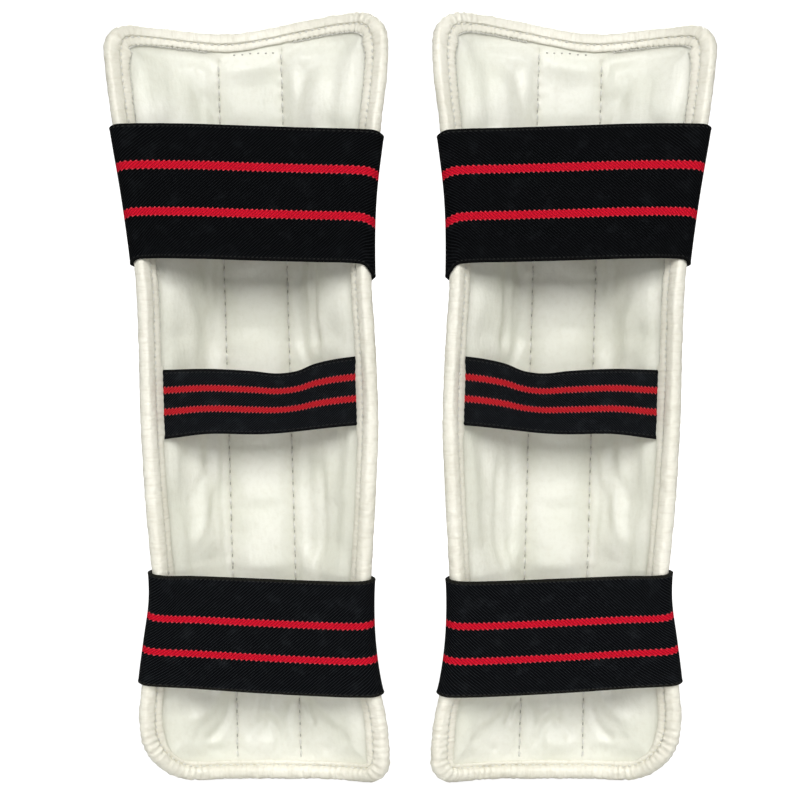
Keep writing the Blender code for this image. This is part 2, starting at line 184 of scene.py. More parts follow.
def wing_length(sign, z):
    """From a seam to the middle of the rolled edge, round the wing."""
    return np.where(np.asarray(sign) < 0, np.interp(z, LZ, LENGTHS[-1]), np.interp(z, LZ, LENGTHS[1]))


def sheet(a, z):
    """The middle of the guard's thickness: (U, v) and the unit normal towards the front, as (nU, nv)."""
    a, z = np.broadcast_arrays(np.asarray(a, float), np.asarray(z, float))
    shape = a.shape
    a, z = a.ravel(), z.ravel()
    sign = np.where(a < 0, -1.0, 1.0)
    t = np.abs(a)
    out = np.empty((len(a), 4))
    for lo in range(0, len(a), 20000):
        k = slice(lo, lo + 20000)
        s, tt, zz = sign[k], t[k], z[k]
        table = arc_table(s, zz)
        p0, p1, p2 = bezier(s, zz)
        target = tt - SEAM_U
        i = np.clip((table <= target[:, None]).sum(1) - 1, 0, len(KNOTS) - 2)
        rows = np.arange(len(i))
        w = (i + (target - table[rows, i]) / (table[rows, i + 1] - table[rows, i])) * KNOTS[1]
        past = np.maximum(target - table[:, -1], 0.0)
        w = np.clip(w, 0.0, 1.0)[:, None]
        p = (1 - w) ** 2 * p0 + 2 * w * (1 - w) * p1 + w**2 * p2
        d = 2 * (1 - w) * (p1 - p0) + 2 * w * (p2 - p1)
        d /= np.linalg.norm(d, axis=1, keepdims=True)
        p = p + d * past[:, None]
        flat = target < 0
        p[flat, 0], p[flat, 1] = tt[flat], MID_V
        turn = smooth((tt - (SEAM_U - 5)) / 10)[:, None]
        d0 = np.array([1.0, 0.0])
        dd = d0 + (np.where(flat[:, None], d0, d) - d0) * 1.0
        # the normal turns gradually across the seam, so that the rolled edge has no kink there
        first = 2 * (p1 - p0)
        first /= np.linalg.norm(first, axis=1, keepdims=True)
        near = np.abs(target) < 5
        dd[near] = (d0 * (1 - turn) + first * turn)[near] + (dd - np.where(flat[:, None], d0, first))[near]
        dd /= np.linalg.norm(dd, axis=1, keepdims=True)
        out[k, 0] = s * p[:, 0]
        out[k, 1] = p[:, 1]
        out[k, 2] = s * -dd[:, 1]
        out[k, 3] = dd[:, 0]
    return out.reshape(*shape, 4)


def lift(a, z, h):
    """A point at height h over the sheet, towards the leg if h is positive, as (U, v, z)."""
    a, z, h = np.broadcast_arrays(np.asarray(a, float), np.asarray(z, float), np.asarray(h, float))
    m = sheet(a, z)
    return np.stack([m[..., 0] - m[..., 2] * h, m[..., 1] - m[..., 3] * h, z], -1)


def world(side, p):
    q = np.empty(p.shape)
    q[..., 0] = side * (-(RIB_FOOT + LEAN * p[..., 2]) + p[..., 0])
    q[..., 1] = LINING_Y + p[..., 1]
    q[..., 2] = p[..., 2]
    return q * 0.001


def wave(x, seed, scale):
    """Smooth noise between -1 and 1 along x, with features of about that size."""
    rng = np.random.RandomState(seed)
    table = rng.uniform(-1, 1, 512)
    q = np.asarray(x, float) / scale + 100
    i = np.floor(q).astype(int)
    f = smooth(q - i)
    return table[i % 512] * (1 - f) + table[(i + 1) % 512] * f


def wave2(x, y, seed, scale):
    rng = np.random.RandomState(seed)
    table = rng.uniform(-1, 1, (64, 64))
    p, q = np.asarray(x, float) / scale + 32, np.asarray(y, float) / scale + 32
    i, j = np.floor(p).astype(int), np.floor(q).astype(int)
    f, g = smooth(p - i), smooth(q - j)
    t = lambda m, n: table[m % 64, n % 64]
    return (t(i, j) * (1 - f) + t(i + 1, j) * f) * (1 - g) + (t(i, j + 1) * (1 - f) + t(i + 1, j + 1) * f) * g


# ---------------------------------------------------------------- materials
class Graph:
    """A small helper to lay out a material's nodes."""

    def __init__(self, name):
        self.mat = bpy.data.materials.new(name)
        self.mat.use_nodes = True
        self.tree = self.mat.node_tree
        self.tree.nodes.clear()
        self.out = self.tree.nodes.new("ShaderNodeOutputMaterial")
        self.bsdf = self.tree.nodes.new("ShaderNodeBsdfPrincipled")
        self.tree.links.new(self.bsdf.outputs[0], self.out.inputs[0])

    def put(self, socket, value):
        if isinstance(value, bpy.types.NodeSocket):
            self.tree.links.new(value, socket)
        elif isinstance(value, (tuple, list)) and len(value) == 3 and socket.type == "RGBA":
            socket.default_value = (*value, 1)
        else:
            socket.default_value = value

    def node(self, kind, settings=None, **inputs):
        n = self.tree.nodes.new(kind)
        for k, v in (settings or {}).items():
            setattr(n, k, v)
        for k, v in inputs.items():
            self.put(n.inputs[k.replace("_", " ")], v)
        return n

    def math(self, op, a, b=0.0, clamp=False):
        n = self.tree.nodes.new("ShaderNodeMath")
        n.operation = op
        n.use_clamp = clamp
        self.put(n.inputs[0], a)
        self.put(n.inputs[1], b)
        return n.outputs[0]

    def vec(self, op, a, b):
        n = self.tree.nodes.new("ShaderNodeVectorMath")
        n.operation = op
        self.put(n.inputs[0], a)
        self.put(n.inputs[1], b)
        return n.outputs[0]

    def mix(self, f, a, b, mode="MIX"):
        n = self.tree.nodes.new("ShaderNodeMix")
        n.data_type = "RGBA"
        n.blend_type = mode
        self.put(n.inputs[0], f)
        self.put(n.inputs[6], a)
        self.put(n.inputs[7], b)
        return n.outputs[2]

    def span(self, x, lo, hi, to_lo=0.0, to_hi=1.0):
        n = self.tree.nodes.new("ShaderNodeMapRange")
        n.interpolation_type = "SMOOTHSTEP"
        self.put(n.inputs[0], x)
        for i, v in enumerate((lo, hi, to_lo, to_hi)):
            self.put(n.inputs[1 + i], v)
        return n.outputs[0]

    def noise(self, vector, scale, detail=2.0, rough=0.5, distort=0.0):
        n = self.node(
            "ShaderNodeTexNoise", Vector=vector, Scale=scale, Detail=detail, Roughness=rough, Distortion=distort
        )
        return n.outputs["Fac"]

    def voronoi(self, vector, scale, feature="F1", rand=1.0):
        n = self.node("ShaderNodeTexVoronoi", {"feature": feature}, Vector=vector, Scale=scale, Randomness=rand)
        return n.outputs["Distance"]

    def mm(self, z=0.0):
        """The piece's own flat coordinates, in millimetres."""
        uv = self.node("ShaderNodeUVMap", {"uv_map": "flat"}).outputs[0]
        return self.vec("ADD", self.vec("MULTIPLY", uv, (100.0, 100.0, 1.0)), (0.0, 0.0, z))

    def attribute(self, name):
        return self.node("ShaderNodeAttribute", {"attribute_name": name}).outputs["Fac"]

    def bump(self, height, distance, strength=1.0, normal=None):
        n = self.node("ShaderNodeBump", Height=height, Distance=distance, Strength=strength)
        if normal is not None:
            self.put(n.inputs["Normal"], normal)
        return n.outputs[0]

    def set(self, **inputs):
        for k, v in inputs.items():
            self.put(self.bsdf.inputs[k.replace("_", " ")], v)


def leather(name, light, shade, stain, roughness, seed, grain=0.035, soft=0.12, gather=0.0):
    """Coated off-white leather: fine pebbled grain, soft creasing, and a darker, yellower tint near seams and where it
    is pinched.
    """
    g = Graph(name)
    p = g.mm(seed)
    broad = g.noise(p, 0.028, 1.0, 0.5)
    mottle = g.noise(p, 0.35, 2.0, 0.6)
    colour = g.mix(g.span(broad, 0.35, 0.65), light, shade)
    colour = g.mix(g.math("MULTIPLY", g.span(mottle, 0.4, 0.75), 0.18), colour, stain)
    seam_tint_amount = g.attribute("seam_tint")
    # tinted darker and yellower near the quilting seams, along the edging's strip and in the edging's valley
    colour = g.mix(g.math("MULTIPLY", seam_tint_amount, 0.25), colour, stain)
    cells = g.voronoi(p, 0.95 if not gather else 0.72)
    fine = g.noise(p, 2.6, 1.0, 0.6)
    stretched = g.vec("MULTIPLY", p, (1.0, 0.42, 1.0))
    crease = g.noise(stretched, 0.16, 2.0, 0.62)
    micro = g.math("ADD", g.math("MULTIPLY", cells, 0.6), g.math("MULTIPLY", fine, 0.4))
    normal = g.bump(crease, soft * 0.001 * 4)
    if gather:  # fine puckers across the edging's length
        fan = g.noise(g.vec("MULTIPLY", p, (1.0, 0.16, 1.0)), 0.75, 1.0, 0.55)
        normal = g.bump(fan, gather * 0.001 * 4, 1.0, normal)
        # painted shade: the hollows of the puckers are tinted darker
        colour = g.mix(g.span(fan, 0.5, 0.32, 0.0, 0.22), colour, stain)
    normal = g.bump(micro, grain * 0.001 * 2, 0.8, normal)
    rough = g.math("ADD", roughness, g.math("MULTIPLY", g.math("SUBTRACT", mottle, 0.5), 0.22))
    rough = g.math("ADD", rough, g.math("MULTIPLY", g.math("SUBTRACT", cells, 0.4), 0.10), True)
    g.set(Base_Color=colour, Roughness=rough, Normal=normal, Specular_IOR_Level=0.55)
    return g.mat


def webbing(name, width, stripes, stripe_width, red, twill, tone, selvedge):
    """Woven elastic: diagonal twill, two red stripes with toothed edges, thicker selvedges and a dashed pick inside them.
    The flat coordinates are millimetres along the strap and across it."""
    g = Graph(name)
    p = g.mm(0.0)
    split = g.node("ShaderNodeSeparateXYZ", Vector=p)
    s, t = split.outputs[0], split.outputs[1]
    # twill ribs climb across the strap, a little faster than they run along it
    rib = g.math("FRACT", g.math("DIVIDE", g.math("ADD", s, g.math("MULTIPLY", t, -1.15)), twill))
    rib = g.math("ABSOLUTE", g.math("SUBTRACT", g.math("MULTIPLY", rib, 2.0), 1.0))
    cross = g.math("FRACT", g.math("DIVIDE", g.math("ADD", s, g.math("MULTIPLY", t, 0.9)), twill * 0.55))
    cross = g.math("ABSOLUTE", g.math("SUBTRACT", g.math("MULTIPLY", cross, 2.0), 1.0))
    yarn = g.noise(g.vec("MULTIPLY", p, (1.0, 2.2, 1.0)), 2.2, 2.0, 0.6)
    weave = g.math("ADD", g.math("MULTIPLY", rib, 0.65), g.math("MULTIPLY", cross, 0.35))
    dark = tuple(c * tone for c in (0.0012, 0.0015, 0.0022))
    pale = tuple(c * tone for c in (0.036, 0.041, 0.046))
    lit = g.math("MULTIPLY", g.span(rib, 0.62, 0.98), g.span(g.math("ADD", g.math("MULTIPLY", cross, 0.6), g.math("MULTIPLY", yarn, 0.4)), 0.25, 0.7))
    colour = g.mix(lit, dark, pale)
    fuzz = g.noise(p, 0.12, 3.0, 0.6)
    colour = g.mix(g.math("MULTIPLY", g.span(fuzz, 0.5, 0.8), 0.25), colour, pale)
    tooth = g.math("FRACT", g.math("DIVIDE", g.math("ADD", s, g.math("MULTIPLY", t, -0.55)), twill * 1.35))
    tooth = g.math("ABSOLUTE", g.math("SUBTRACT", g.math("MULTIPLY", tooth, 2.0), 1.0))
    red_lit = g.mix(g.span(weave, 0.25, 0.8), tuple(c * 0.55 for c in red), red)
    dot_colour = tuple(0.8 * c + 0.10 for c in red)
    for centre in stripes:
        off = g.math("ABSOLUTE", g.math("SUBTRACT", t, centre * width))
        edge = g.math("ADD", stripe_width / 2, g.math("MULTIPLY", g.math("SUBTRACT", tooth, 0.5), 0.8))
        inside = g.span(g.math("SUBTRACT", edge, off), -0.06, 0.10)
        colour = g.mix(inside, colour, red_lit)
        rim_band = g.math("SUBTRACT", 1.0, g.span(g.math("ABSOLUTE", g.math("SUBTRACT", off, stripe_width / 2)), 0.12, 0.42))
        dots = g.math("MULTIPLY", rim_band, g.span(tooth, 0.62, 0.9))
        colour = g.mix(g.math("MULTIPLY", dots, 0.7), colour, dot_colour)
    # selvedges: a plain cord at each edge, and a thin pale dashed pick just inside it
    from_edge = g.math("MINIMUM", t, g.math("SUBTRACT", width, t))
    dash = g.span(g.math("FRACT", g.math("DIVIDE", s, 2.1)), 0.45, 0.6)
    pick = g.math("SUBTRACT", 1.0, g.span(g.math("ABSOLUTE", g.math("SUBTRACT", from_edge, 1.5)), 0.10, 0.32))
    colour = g.mix(g.math("MULTIPLY", g.math("MULTIPLY", pick, dash), 0.35), colour, (0.07, 0.07, 0.065))
    cord = g.math("SUBTRACT", 1.0, g.span(from_edge, 0.9, 1.5))
    colour = g.mix(g.math("MULTIPLY", cord, 0.7), colour, selvedge)
    height = g.math("ADD", weave, g.math("MULTIPLY", yarn, 0.5))
    normal = g.bump(height, 0.00035, 0.9)
    g.set(Base_Color=colour, Roughness=g.span(yarn, 0.2, 0.8, 0.62, 0.88), Normal=normal)
    g.set(Specular_IOR_Level=0.035)
    return g.mat


def thread(name, colour, seed):
    g = Graph(name)
    p = g.mm(seed)
    split = g.node("ShaderNodeSeparateXYZ", Vector=p)
    twist = g.math("FRACT", g.math("MULTIPLY", g.math("ADD", split.outputs[0], g.math("MULTIPLY", split.outputs[1], 1.4)), 2.4))
    twist = g.math("ABSOLUTE", g.math("SUBTRACT", g.math("MULTIPLY", twist, 2.0), 1.0))
    shade = tuple(c * 0.72 for c in colour)
    g.set(Base_Color=g.mix(twist, shade, colour), Roughness=0.62, Normal=g.bump(twist, 0.0001, 0.8))
    g.set(Specular_IOR_Level=0.4)
    return g.mat


LINING = leather("lining_coated_leather", (0.79, 0.79, 0.70), (0.735, 0.74, 0.64), (0.60, 0.58, 0.46), 0.36, 3.0)
COVER = leather("cover_coated_leather", (0.80, 0.80, 0.74), (0.75, 0.75, 0.685), (0.62, 0.60, 0.50), 0.36, 11.0)
EDGING = leather("edging_coated_leather", (0.83, 0.81, 0.708), (0.765, 0.745, 0.64), (0.58, 0.54, 0.42), 0.46, 23.0, 0.085, 0.07, 0.06)
THREAD = thread("quilting_thread", (0.87, 0.86, 0.79), 5.0)
SEWING = thread("strap_sewing_thread", (0.05, 0.05, 0.053), 8.0)
# painted shade: the grey of the shadow inside the needle holes, laid on the lining as small capsules
HOLE_SHADE = thread("needle_hole_shade", (0.46, 0.45, 0.39), 6.0)
WIDE_RED, NARROW_RED = (0.66, 0.007, 0.026), (0.55, 0.016, 0.025)
STRAPS = {
    "calf": dict(thick=1.5, stripes=(0.345, 0.69), stripe=4.0, red=WIDE_RED, twill=1.75, tone=0.5, selvedge=(0.004, 0.0042, 0.004)),
    "middle": dict(thick=1.3, stripes=(0.39, 0.703), stripe=2.8, red=NARROW_RED, twill=1.3, tone=1.15, selvedge=(0.0045, 0.0045, 0.0045)),
    "ankle": dict(thick=1.5, stripes=(0.318, 0.619), stripe=3.3, red=WIDE_RED, twill=1.75, tone=0.85, selvedge=(0.014, 0.0135, 0.0095)),
}


# ---------------------------------------------------------------- mesh making
def grid_faces(rows, cols, first=0, closed=False):
    """Quads of a grid of points stored row by row. closed joins the last column to the first."""
    n = cols if closed else cols - 1
    i, j = np.meshgrid(np.arange(rows - 1), np.arange(n), indexing="ij")
    k = (j + 1) % cols
    a = i * cols + j
    b = i * cols + k
    return (np.stack([a, b, b + cols, a + cols], -1).reshape(-1, 4) + first).astype(int)


def signed_volume(v, faces):
    total = 0.0
    for f in faces:
        f = np.asarray(f)
        tri = [f] if f.ndim == 1 else None
        if tri is None:
            a, b, c, d = (v[f[:, k]] for k in range(4))
            total += np.einsum("ij,ij->i", a, np.cross(b, c)).sum() + np.einsum("ij,ij->i", a, np.cross(c, d)).sum()
        else:
            for k in range(1, len(f) - 1):
                total += np.dot(v[f[0]], np.cross(v[f[k]], v[f[k + 1]]))
    return total


def slab_faces(rows, cols):
    """Quads of a closed sheet: two grids of points, one after the other, joined round their borders."""
    n = rows * cols
    idx = np.arange(n).reshape(rows, cols)
    loop = np.concatenate([idx[0], idx[1:, -1], idx[-1, -2::-1], idx[-2:0:-1, 0]])
    nxt = np.roll(loop, -1)
    return np.concatenate([grid_faces(rows, cols), grid_faces(rows, cols, n)[:, ::-1], np.stack([nxt, loop, loop + n, nxt + n], -1)])


def make(name, points, quads, mat, side, flat=None, seam_tint=None, caps=(), sharp=False):
    """A closed mesh object from guard-space points, with its faces turned to look outwards."""
    v = world(side, points.reshape(-1, 3))
    quads = np.asarray(quads)
    wrong = signed_volume(v, [quads] + [np.asarray(c) for c in caps]) < 0
    faces = quads.tolist() + [list(c) for c in caps]
    if wrong:
        faces = [f[::-1] for f in faces]
    mesh = bpy.data.meshes.new(name)
    mesh.from_pydata(v.tolist(), [], faces)
    if flat is not None:
        loops = np.empty(len(mesh.loops), np.int32)
        mesh.loops.foreach_get("vertex_index", loops)
        uv = np.asarray(flat, float).reshape(-1, 2)[loops] / 100 + (0.0 if side > 0 else 7.0) * (seam_tint is not None)
        layer = mesh.uv_layers.new(name="flat")
        layer.data.foreach_set("uv", uv.astype(np.float32).ravel())
    if seam_tint is not None:
        layer = mesh.attributes.new("seam_tint", "FLOAT", "POINT")
        layer.data.foreach_set("value", np.asarray(seam_tint, np.float32).ravel())
    mesh.shade_smooth()
    if caps or sharp:
        mesh.set_sharp_from_angle(angle=math.radians(50))
    mesh.materials.append(mat)
    obj = bpy.data.objects.new(name, mesh)
    bpy.context.scene.collection.objects.link(obj)
    return obj


def bend_with(obj):
    """Bakes the object's placement into its mesh."""
    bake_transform(obj)


# ---------------------------------------------------------------- padded channels
def twice(values):
    """Puts a point midway between each two, on a smooth curve, along the first axis."""
    n = len(values)
    out = np.empty((2 * n - 1, *values.shape[1:]))
    out[::2] = values
    before, after = values[np.maximum(np.arange(n - 1) - 1, 0)], values[np.minimum(np.arange(n - 1) + 2, n - 1)]
    out[1::2] = (9 * (values[:-1] + values[1:]) - before - after) / 16
    return out


def refine(values):
    return np.swapaxes(twice(np.swapaxes(twice(values), 0, 1)), 0, 1)


def pad_layout(panel, rows, cols):
    """(a, z) of the points of a channel's sheet, and distances to its sides: d_seam, d_edge, d_top, d_foot."""
    p, q = np.meshgrid(np.linspace(0, 1, rows), np.linspace(0, 1, cols), indexing="ij")
    low = FOOT + PINCH_ENDS
    if panel == 0:
        q = 2 * q - 1
        a = (1.2 * q - 0.2 * q**3) * (SEAM_U - 0.005)
        high = top_height(a) - RIM_R - PINCH_ENDS
        z = low + (high - low) * p
        edge = np.full_like(a, 99.0)
        seam = SEAM_U - np.abs(a)
        return a, z, seam, edge, high - z, z - low
    q = q * (0.5 + 0.5 * q)
    z = low + (374 - RIM_R - PINCH_ENDS - low) * p
    for _ in range(3):
        length = wing_length(panel, z) - PINCH
        side = (1 - q) * (length - 0.005)
        a = panel * (SEAM_U + length - side)
        high = top_height(sheet(a, np.full_like(a, 365.0))[..., 0]) - RIM_R - PINCH_ENDS
        foot = p * (high - low)
        top = (1 - p) * (high - low)
        for which, other in ((0, top), (1, foot)):
            r = max(3.0, CORNERS[panel][which] - 0.8 * RIM_R - PINCH)
            x, y = np.clip((r - side) / r, 0, 1), np.clip((r - other) / r, 0, 1)
            corner = (x > 0) & (y > 0)
            xs, ys = x * np.sqrt(1 - y * y / 2), y * np.sqrt(1 - x * x / 2)
            side = np.where(corner, r - r * xs, side)
            other = np.where(corner, r - r * ys, other)
            if which:
                foot = other
            else:
                top = other
        z = np.where(p > 0.5, high - top, low + foot)
    a = panel * (SEAM_U + length - side)
    return a, z, np.abs(a) - SEAM_U, length - (np.abs(a) - SEAM_U), high - z, z - low


def rise(d, soft):
    return 1 - np.exp(-np.maximum(d, 0) / soft)


def lining_height(panel, a, z, seam, edge, top, foot):
    """How far the lining stands off the middle of the guard, towards the leg: flat under the edging's strip, softly padded inside it."""
    from_strip = np.minimum(np.minimum(edge, top), foot) - 2.6
    crown = 1.2 if panel == 0 else 2.0
    swell = 0.75 * smooth((seam + 0.6) / 9) + 0.25 * rise(seam, 1.2)
    return 1.6 + crown * swell * smooth(from_strip / 10) * rise(from_strip, 2.0)


def cover_height(panel, a, z, seam, edge, top, foot):
    ends = rise(top, 6.0) * rise(foot, 6.0)
    if panel == 0:
        return 1.4 + 10.0 * rise(seam, 5.5) * ends / rise(np.array(SEAM_U), 5.5)
    share = seam / np.maximum(seam + edge, 1e-6)
    crown = 7.6 * (1 - 0.38 * smooth((share - 0.45) / 0.5))
    return 1.4 + (0.6 + crown) * rise(seam, 5.0) * rise(edge, 4.0) * ends


# soft folds of the lining seen in the photo: panel, from (a, z) to (a, z), half width, depth (negative is a ridge)
FOLD_DEPTH = 1.45
FOLDS = (
    (1, 24, 262, 23, 212, 2.6, 1.1),
    (1, 29.5, 262, 30.5, 208, 2.6, -0.9),
    (1, 35, 258, 36, 214, 2.6, 1.0),
    (-1, -21, 262, -20.5, 208, 3.4, 0.9),
    (-1, -19.5, 168, -20, 100, 2.6, 0.9),
    (-1, -28, 166, -40, 136, 3.6, 1.0),
    (-1, -24, 150, -42, 118, 3.8, -0.9),
    (1, 24, 166, 25, 112, 3.2, 0.8),
    (1, 34, 160, 33, 104, 3.6, 1.1),
    # bottom of the shin panel and the wings: pulls that run from the seams' ends
    (0, -2.5, 50, -1.5, 27, 1.8, 1.1),
    (0, -10, 20, 1, 33, 2.2, 0.8),
    (0, 2, 36, 9, 22, 1.9, -1.0),
    (0, 2.5, 30, 5, 12, 1.6, 0.9),
    (0, 12, 40, 7, 16, 2.0, 0.9),
    (-1, -17, 38, -31, 20, 2.6, 1.4),
    (-1, -17, 50, -40, 30, 3.4, -1.1),
    (-1, -40, 22, -24, 13, 3.6, 0.8),
    (1, 16, 40, 25, 29, 1.7, 1.3),
    (1, 17, 46, 40, 30, 3.4, -1.1),
    (1, 42, 24, 28, 13, 3.4, 0.8),
    # long soft creases down the wings
    (-1, -27, 250, -25, 118, 4.5, 0.9),
    (-1, -37, 236, -35, 130, 4.5, -0.6),
    (1, 29, 246, 27, 120, 4.5, 0.9),
    (1, 40, 232, 38, 128, 4.8, -0.6),
    (1, 28, 356, 24, 320, 4.0, 0.7),
    (1, 36, 352, 38, 318, 4.4, -0.6),
    (1, 46, 356, 44, 322, 4.0, 0.7),
    (-1, -28, 352, -25, 318, 4.2, 0.6),
    (-1, -42, 350, -44, 322, 4.4, 0.5),
)


def folds(panel, a, z):
    total = np.zeros_like(a)
    for which, a0, z0, a1, z1, width, deep in FOLDS:
        if which != panel:
            continue
        d = np.array([a1 - a0, z1 - z0], float)
        size = np.hypot(*d)
        d /= size
        along = (a - a0) * d[0] + (z - z0) * d[1]
        off = -(a - a0) * d[1] + (z - z0) * d[0] + 1.2 * np.sin(along / size * 5 + a0)
        taper = smooth(along / (0.25 * size) + 0.4) * smooth((size - along) / (0.25 * size) + 0.4)
        total += FOLD_DEPTH * deep * np.exp(-((off / width) ** 2)) * taper
    return total


def inflate(lining, cover, pins, cap):
    """Cloth with air pressure on a closed pad: returns how far each point moved, in millimetres of guard space."""
    rows, cols = lining.shape[:2]
    n = rows * cols
    points = np.concatenate([lining.reshape(-1, 3), cover.reshape(-1, 3)])
    obj = make("pad_form", points, slab_faces(rows, cols), LINING, 1)
    group = obj.vertex_groups.new(name="pins")
    weights = np.concatenate([pins[0].ravel(), pins[1].ravel()])
    for level in np.unique(np.round(weights, 2)):
        if level > 0:
            group.add(np.nonzero(np.round(weights, 2) == level)[0].tolist(), float(level), "REPLACE")
    mod = obj.modifiers.new("Cloth", "CLOTH")
    c = mod.settings
    c.quality = 5
    c.mass = 0.2
    c.tension_stiffness = c.compression_stiffness = 15
    c.shear_stiffness = 5
    c.bending_stiffness = 1.0
    c.use_pressure = True
    c.uniform_pressure_force = 4.0
    c.shrink_min = -0.025
    c.vertex_group_mass = "pins"
    c.effector_weights.gravity = 0
    mod.collision_settings.use_collision = False
    mod.collision_settings.use_self_collision = False
    mod.point_cache.frame_start, mod.point_cache.frame_end = 1, 20
    scene = bpy.context.scene
    scene.frame_start, scene.frame_end = 1, 20
    for f in range(1, 21):
        scene.frame_set(f)
    done = obj.evaluated_get(bpy.context.evaluated_depsgraph_get())
    co = np.empty(2 * n * 3, np.float32)
    done.data.vertices.foreach_get("co", co)
    moved = (co.reshape(-1, 3) - world(1, points)) * 1000
    mesh = obj.data
    bpy.data.objects.remove(obj)
    bpy.data.meshes.remove(mesh)
    scene.frame_set(1)
    moved[~np.isfinite(moved)] = 0
    size = np.linalg.norm(moved, axis=1, keepdims=True)
    moved *= np.minimum(1.0, cap / np.maximum(size, 1e-6))
    moved *= 1 - smooth(weights)[:, None]
    print("inflated pad: moved up to %.2f mm, mean %.2f mm" % (np.linalg.norm(moved, axis=1).max(), np.linalg.norm(moved, axis=1).mean()))
    return moved[:n].reshape(rows, cols, 3), moved[n:].reshape(rows, cols, 3)


PADS = {}
for panel in (-1, 0, 1):
    rows, cols = 158, (15 if panel == 0 else 26)
    lay = pad_layout(panel, rows, cols)
    a, z, seam, edge, top, foot = lay
    lining = lift(a, z, lining_height(panel, *lay) * 0.96)
    cover = lift(a, z, -cover_height(panel, *lay) * 0.92)
    strip = np.minimum(np.minimum(edge, top), foot)
    border = (strip < 0.05) | (seam < 0.1)
    pin_lining = np.where(border, 1.0, np.maximum(smooth((5.0 - strip) / 3.0), 0.0))
    pin_lining = np.maximum(pin_lining, 0.9 * (seam < 1.5))
    pin_cover = np.where(border, 1.0, 0.0)
    shift = inflate(lining, cover, (pin_lining, pin_cover), 4.0)
    for s in shift:  # leaves the cloth's larger swells and drops its finest crumples
        for _ in range(5):
            s[1:-1, 1:-1] = 0.4 * s[1:-1, 1:-1] + 0.15 * (s[:-2, 1:-1] + s[2:, 1:-1] + s[1:-1, :-2] + s[1:-1, 2:])
    PADS[panel] = [refine(s) for s in shift]


QUILT = 6.0  # pitch of the quilting seams' stitches
QUILT_FROM = FOOT + PINCH_ENDS + 1.6


def puckers(seam, z):
    """The small pull of each needle hole of a quilted seam: a soft one, and the hole itself."""
    pull = 0.5 + 0.5 * np.cos(2 * np.pi * (z - QUILT_FROM) / QUILT)
    return pull * np.exp(-seam / 2.4), pull**5 * np.exp(-((seam / 0.75) ** 2))


STITCH = 3.4  # pitch of the rolled edge's stitches
for side, hand in HANDS.items():
    for panel in (-1, 0, 1):
        part = "shin" if panel == 0 else f"{WING[panel]}_wing"
        rows, cols = 2 * 158 - 1, 2 * (15 if panel == 0 else 26) - 1
        lay = pad_layout(panel, rows, cols)
        a, z, seam, edge, top, foot = lay
        strip = np.minimum(np.minimum(edge, top), foot) - 2.6
        m = sheet(a, z)
        front = np.stack([m[..., 2], m[..., 3], np.zeros_like(a)], -1)
        flat = np.stack([a, z], -1)
        free = rise(seam, 3.0) * smooth(strip / 6)
        h = lining_height(panel, *lay)
        h = h - folds(panel, a, z) * free
        h = h + (0.35 if panel == 0 else 0.75) * wave2(a, z * 0.42, 7 + panel, 12.0) * free
        pull, hole = puckers(seam, z)
        h = h - (0.22 * pull + 0.75 * hole) * smooth(strip / 2 + 0.3)
        points = lift(a, z, h) + PADS[panel][0]
        # tint mask: near the quilting seams and along the edging's strip
        seam_tint = np.clip(0.9 * np.exp(-seam / 2.2) + 0.8 * np.exp(-np.maximum(strip, 0) / 2.0), 0, 1)
        obj = make(f"{hand}_{part}_lining_sheet", np.stack([points, points + 0.9 * front]), slab_faces(rows, cols), LINING, side, np.stack([flat, flat]), np.stack([seam_tint, seam_tint]), sharp=True)
        if panel:
            bend_with(obj)
        else:
            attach(obj, f"{hand}_shin")
        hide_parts(f"{hand}_{part}_lining", f"{hand}_{part}_foam")

        h = cover_height(panel, *lay)
        h = h + 0.5 * wave2(a + 40, z * 0.5, 17 + panel, 15.0) * rise(seam, 4.0) * rise(edge, 4.0)
        h = h - 0.5 * pull - 0.4 * hole
        points = lift(a, z, -h) + PADS[panel][1]
        # tint mask: near the quilting seams and the sheet's borders
        seam_tint = np.clip(0.9 * np.exp(-seam / 2.4) + 0.7 * np.exp(-np.minimum(np.minimum(edge, top), foot) / 2.0), 0, 1)
        obj = make(f"{hand}_{part}_cover_sheet", np.stack([points, points - 0.9 * front]), slab_faces(rows, cols), COVER, side, np.stack([flat, flat]), np.stack([seam_tint, seam_tint]), sharp=True)
        if panel:
            bend_with(obj)
        else:
            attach(obj, f"{hand}_shin")
        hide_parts(f"{hand}_{part}_cover")


# ---------------------------------------------------------------- rolled edge
def half_path(wing):
    """(a, z) of the middle of the rolled edge, from the top centre round a wing to the bottom centre."""
    r_top, r_low = (r - 0.8 * RIM_R for r in CORNERS[wing])
    t_end = SEAM_U + float(wing_length(wing, 368)) - r_top
    t = np.linspace(0, t_end, 160)
    z = top_height(sheet(wing * t, np.full_like(t, 368.0))[:, 0]) - RIM_R
    z_c = z[-1] - r_top
    f = np.linspace(0, math.pi / 2, 40)[1:]
    zf = z_c + r_top * np.cos(f)
    tf = SEAM_U + wing_length(wing, zf) - r_top + r_top * np.sin(f)
    zs = np.linspace(z_c, FOOT + r_low, 500)[1:-1]
    ts = SEAM_U + wing_length(wing, zs)
    f = np.linspace(0, math.pi / 2, 60)
    zb = FOOT + r_low - r_low * np.sin(f)
    tb = SEAM_U + wing_length(wing, zb) - r_low + r_low * np.cos(f)
    te = np.linspace(tb[-1], 0, 120)[1:]
    t = np.concatenate([t, tf, ts, tb, te])
    z = np.concatenate([z, zf, zs, zb, np.full(len(te), FOOT)])
    return wing * t, z


def even(points, spacing, *columns):
    """Resamples columns at even steps along the line through points."""
    s = np.concatenate([[0], np.cumsum(np.linalg.norm(np.diff(points, axis=0), axis=1))])
    n = max(2, int(round(s[-1] / spacing)))
    at = np.linspace(0, s[-1], n + 1)
    return at, [np.interp(at, s, c) for c in columns]


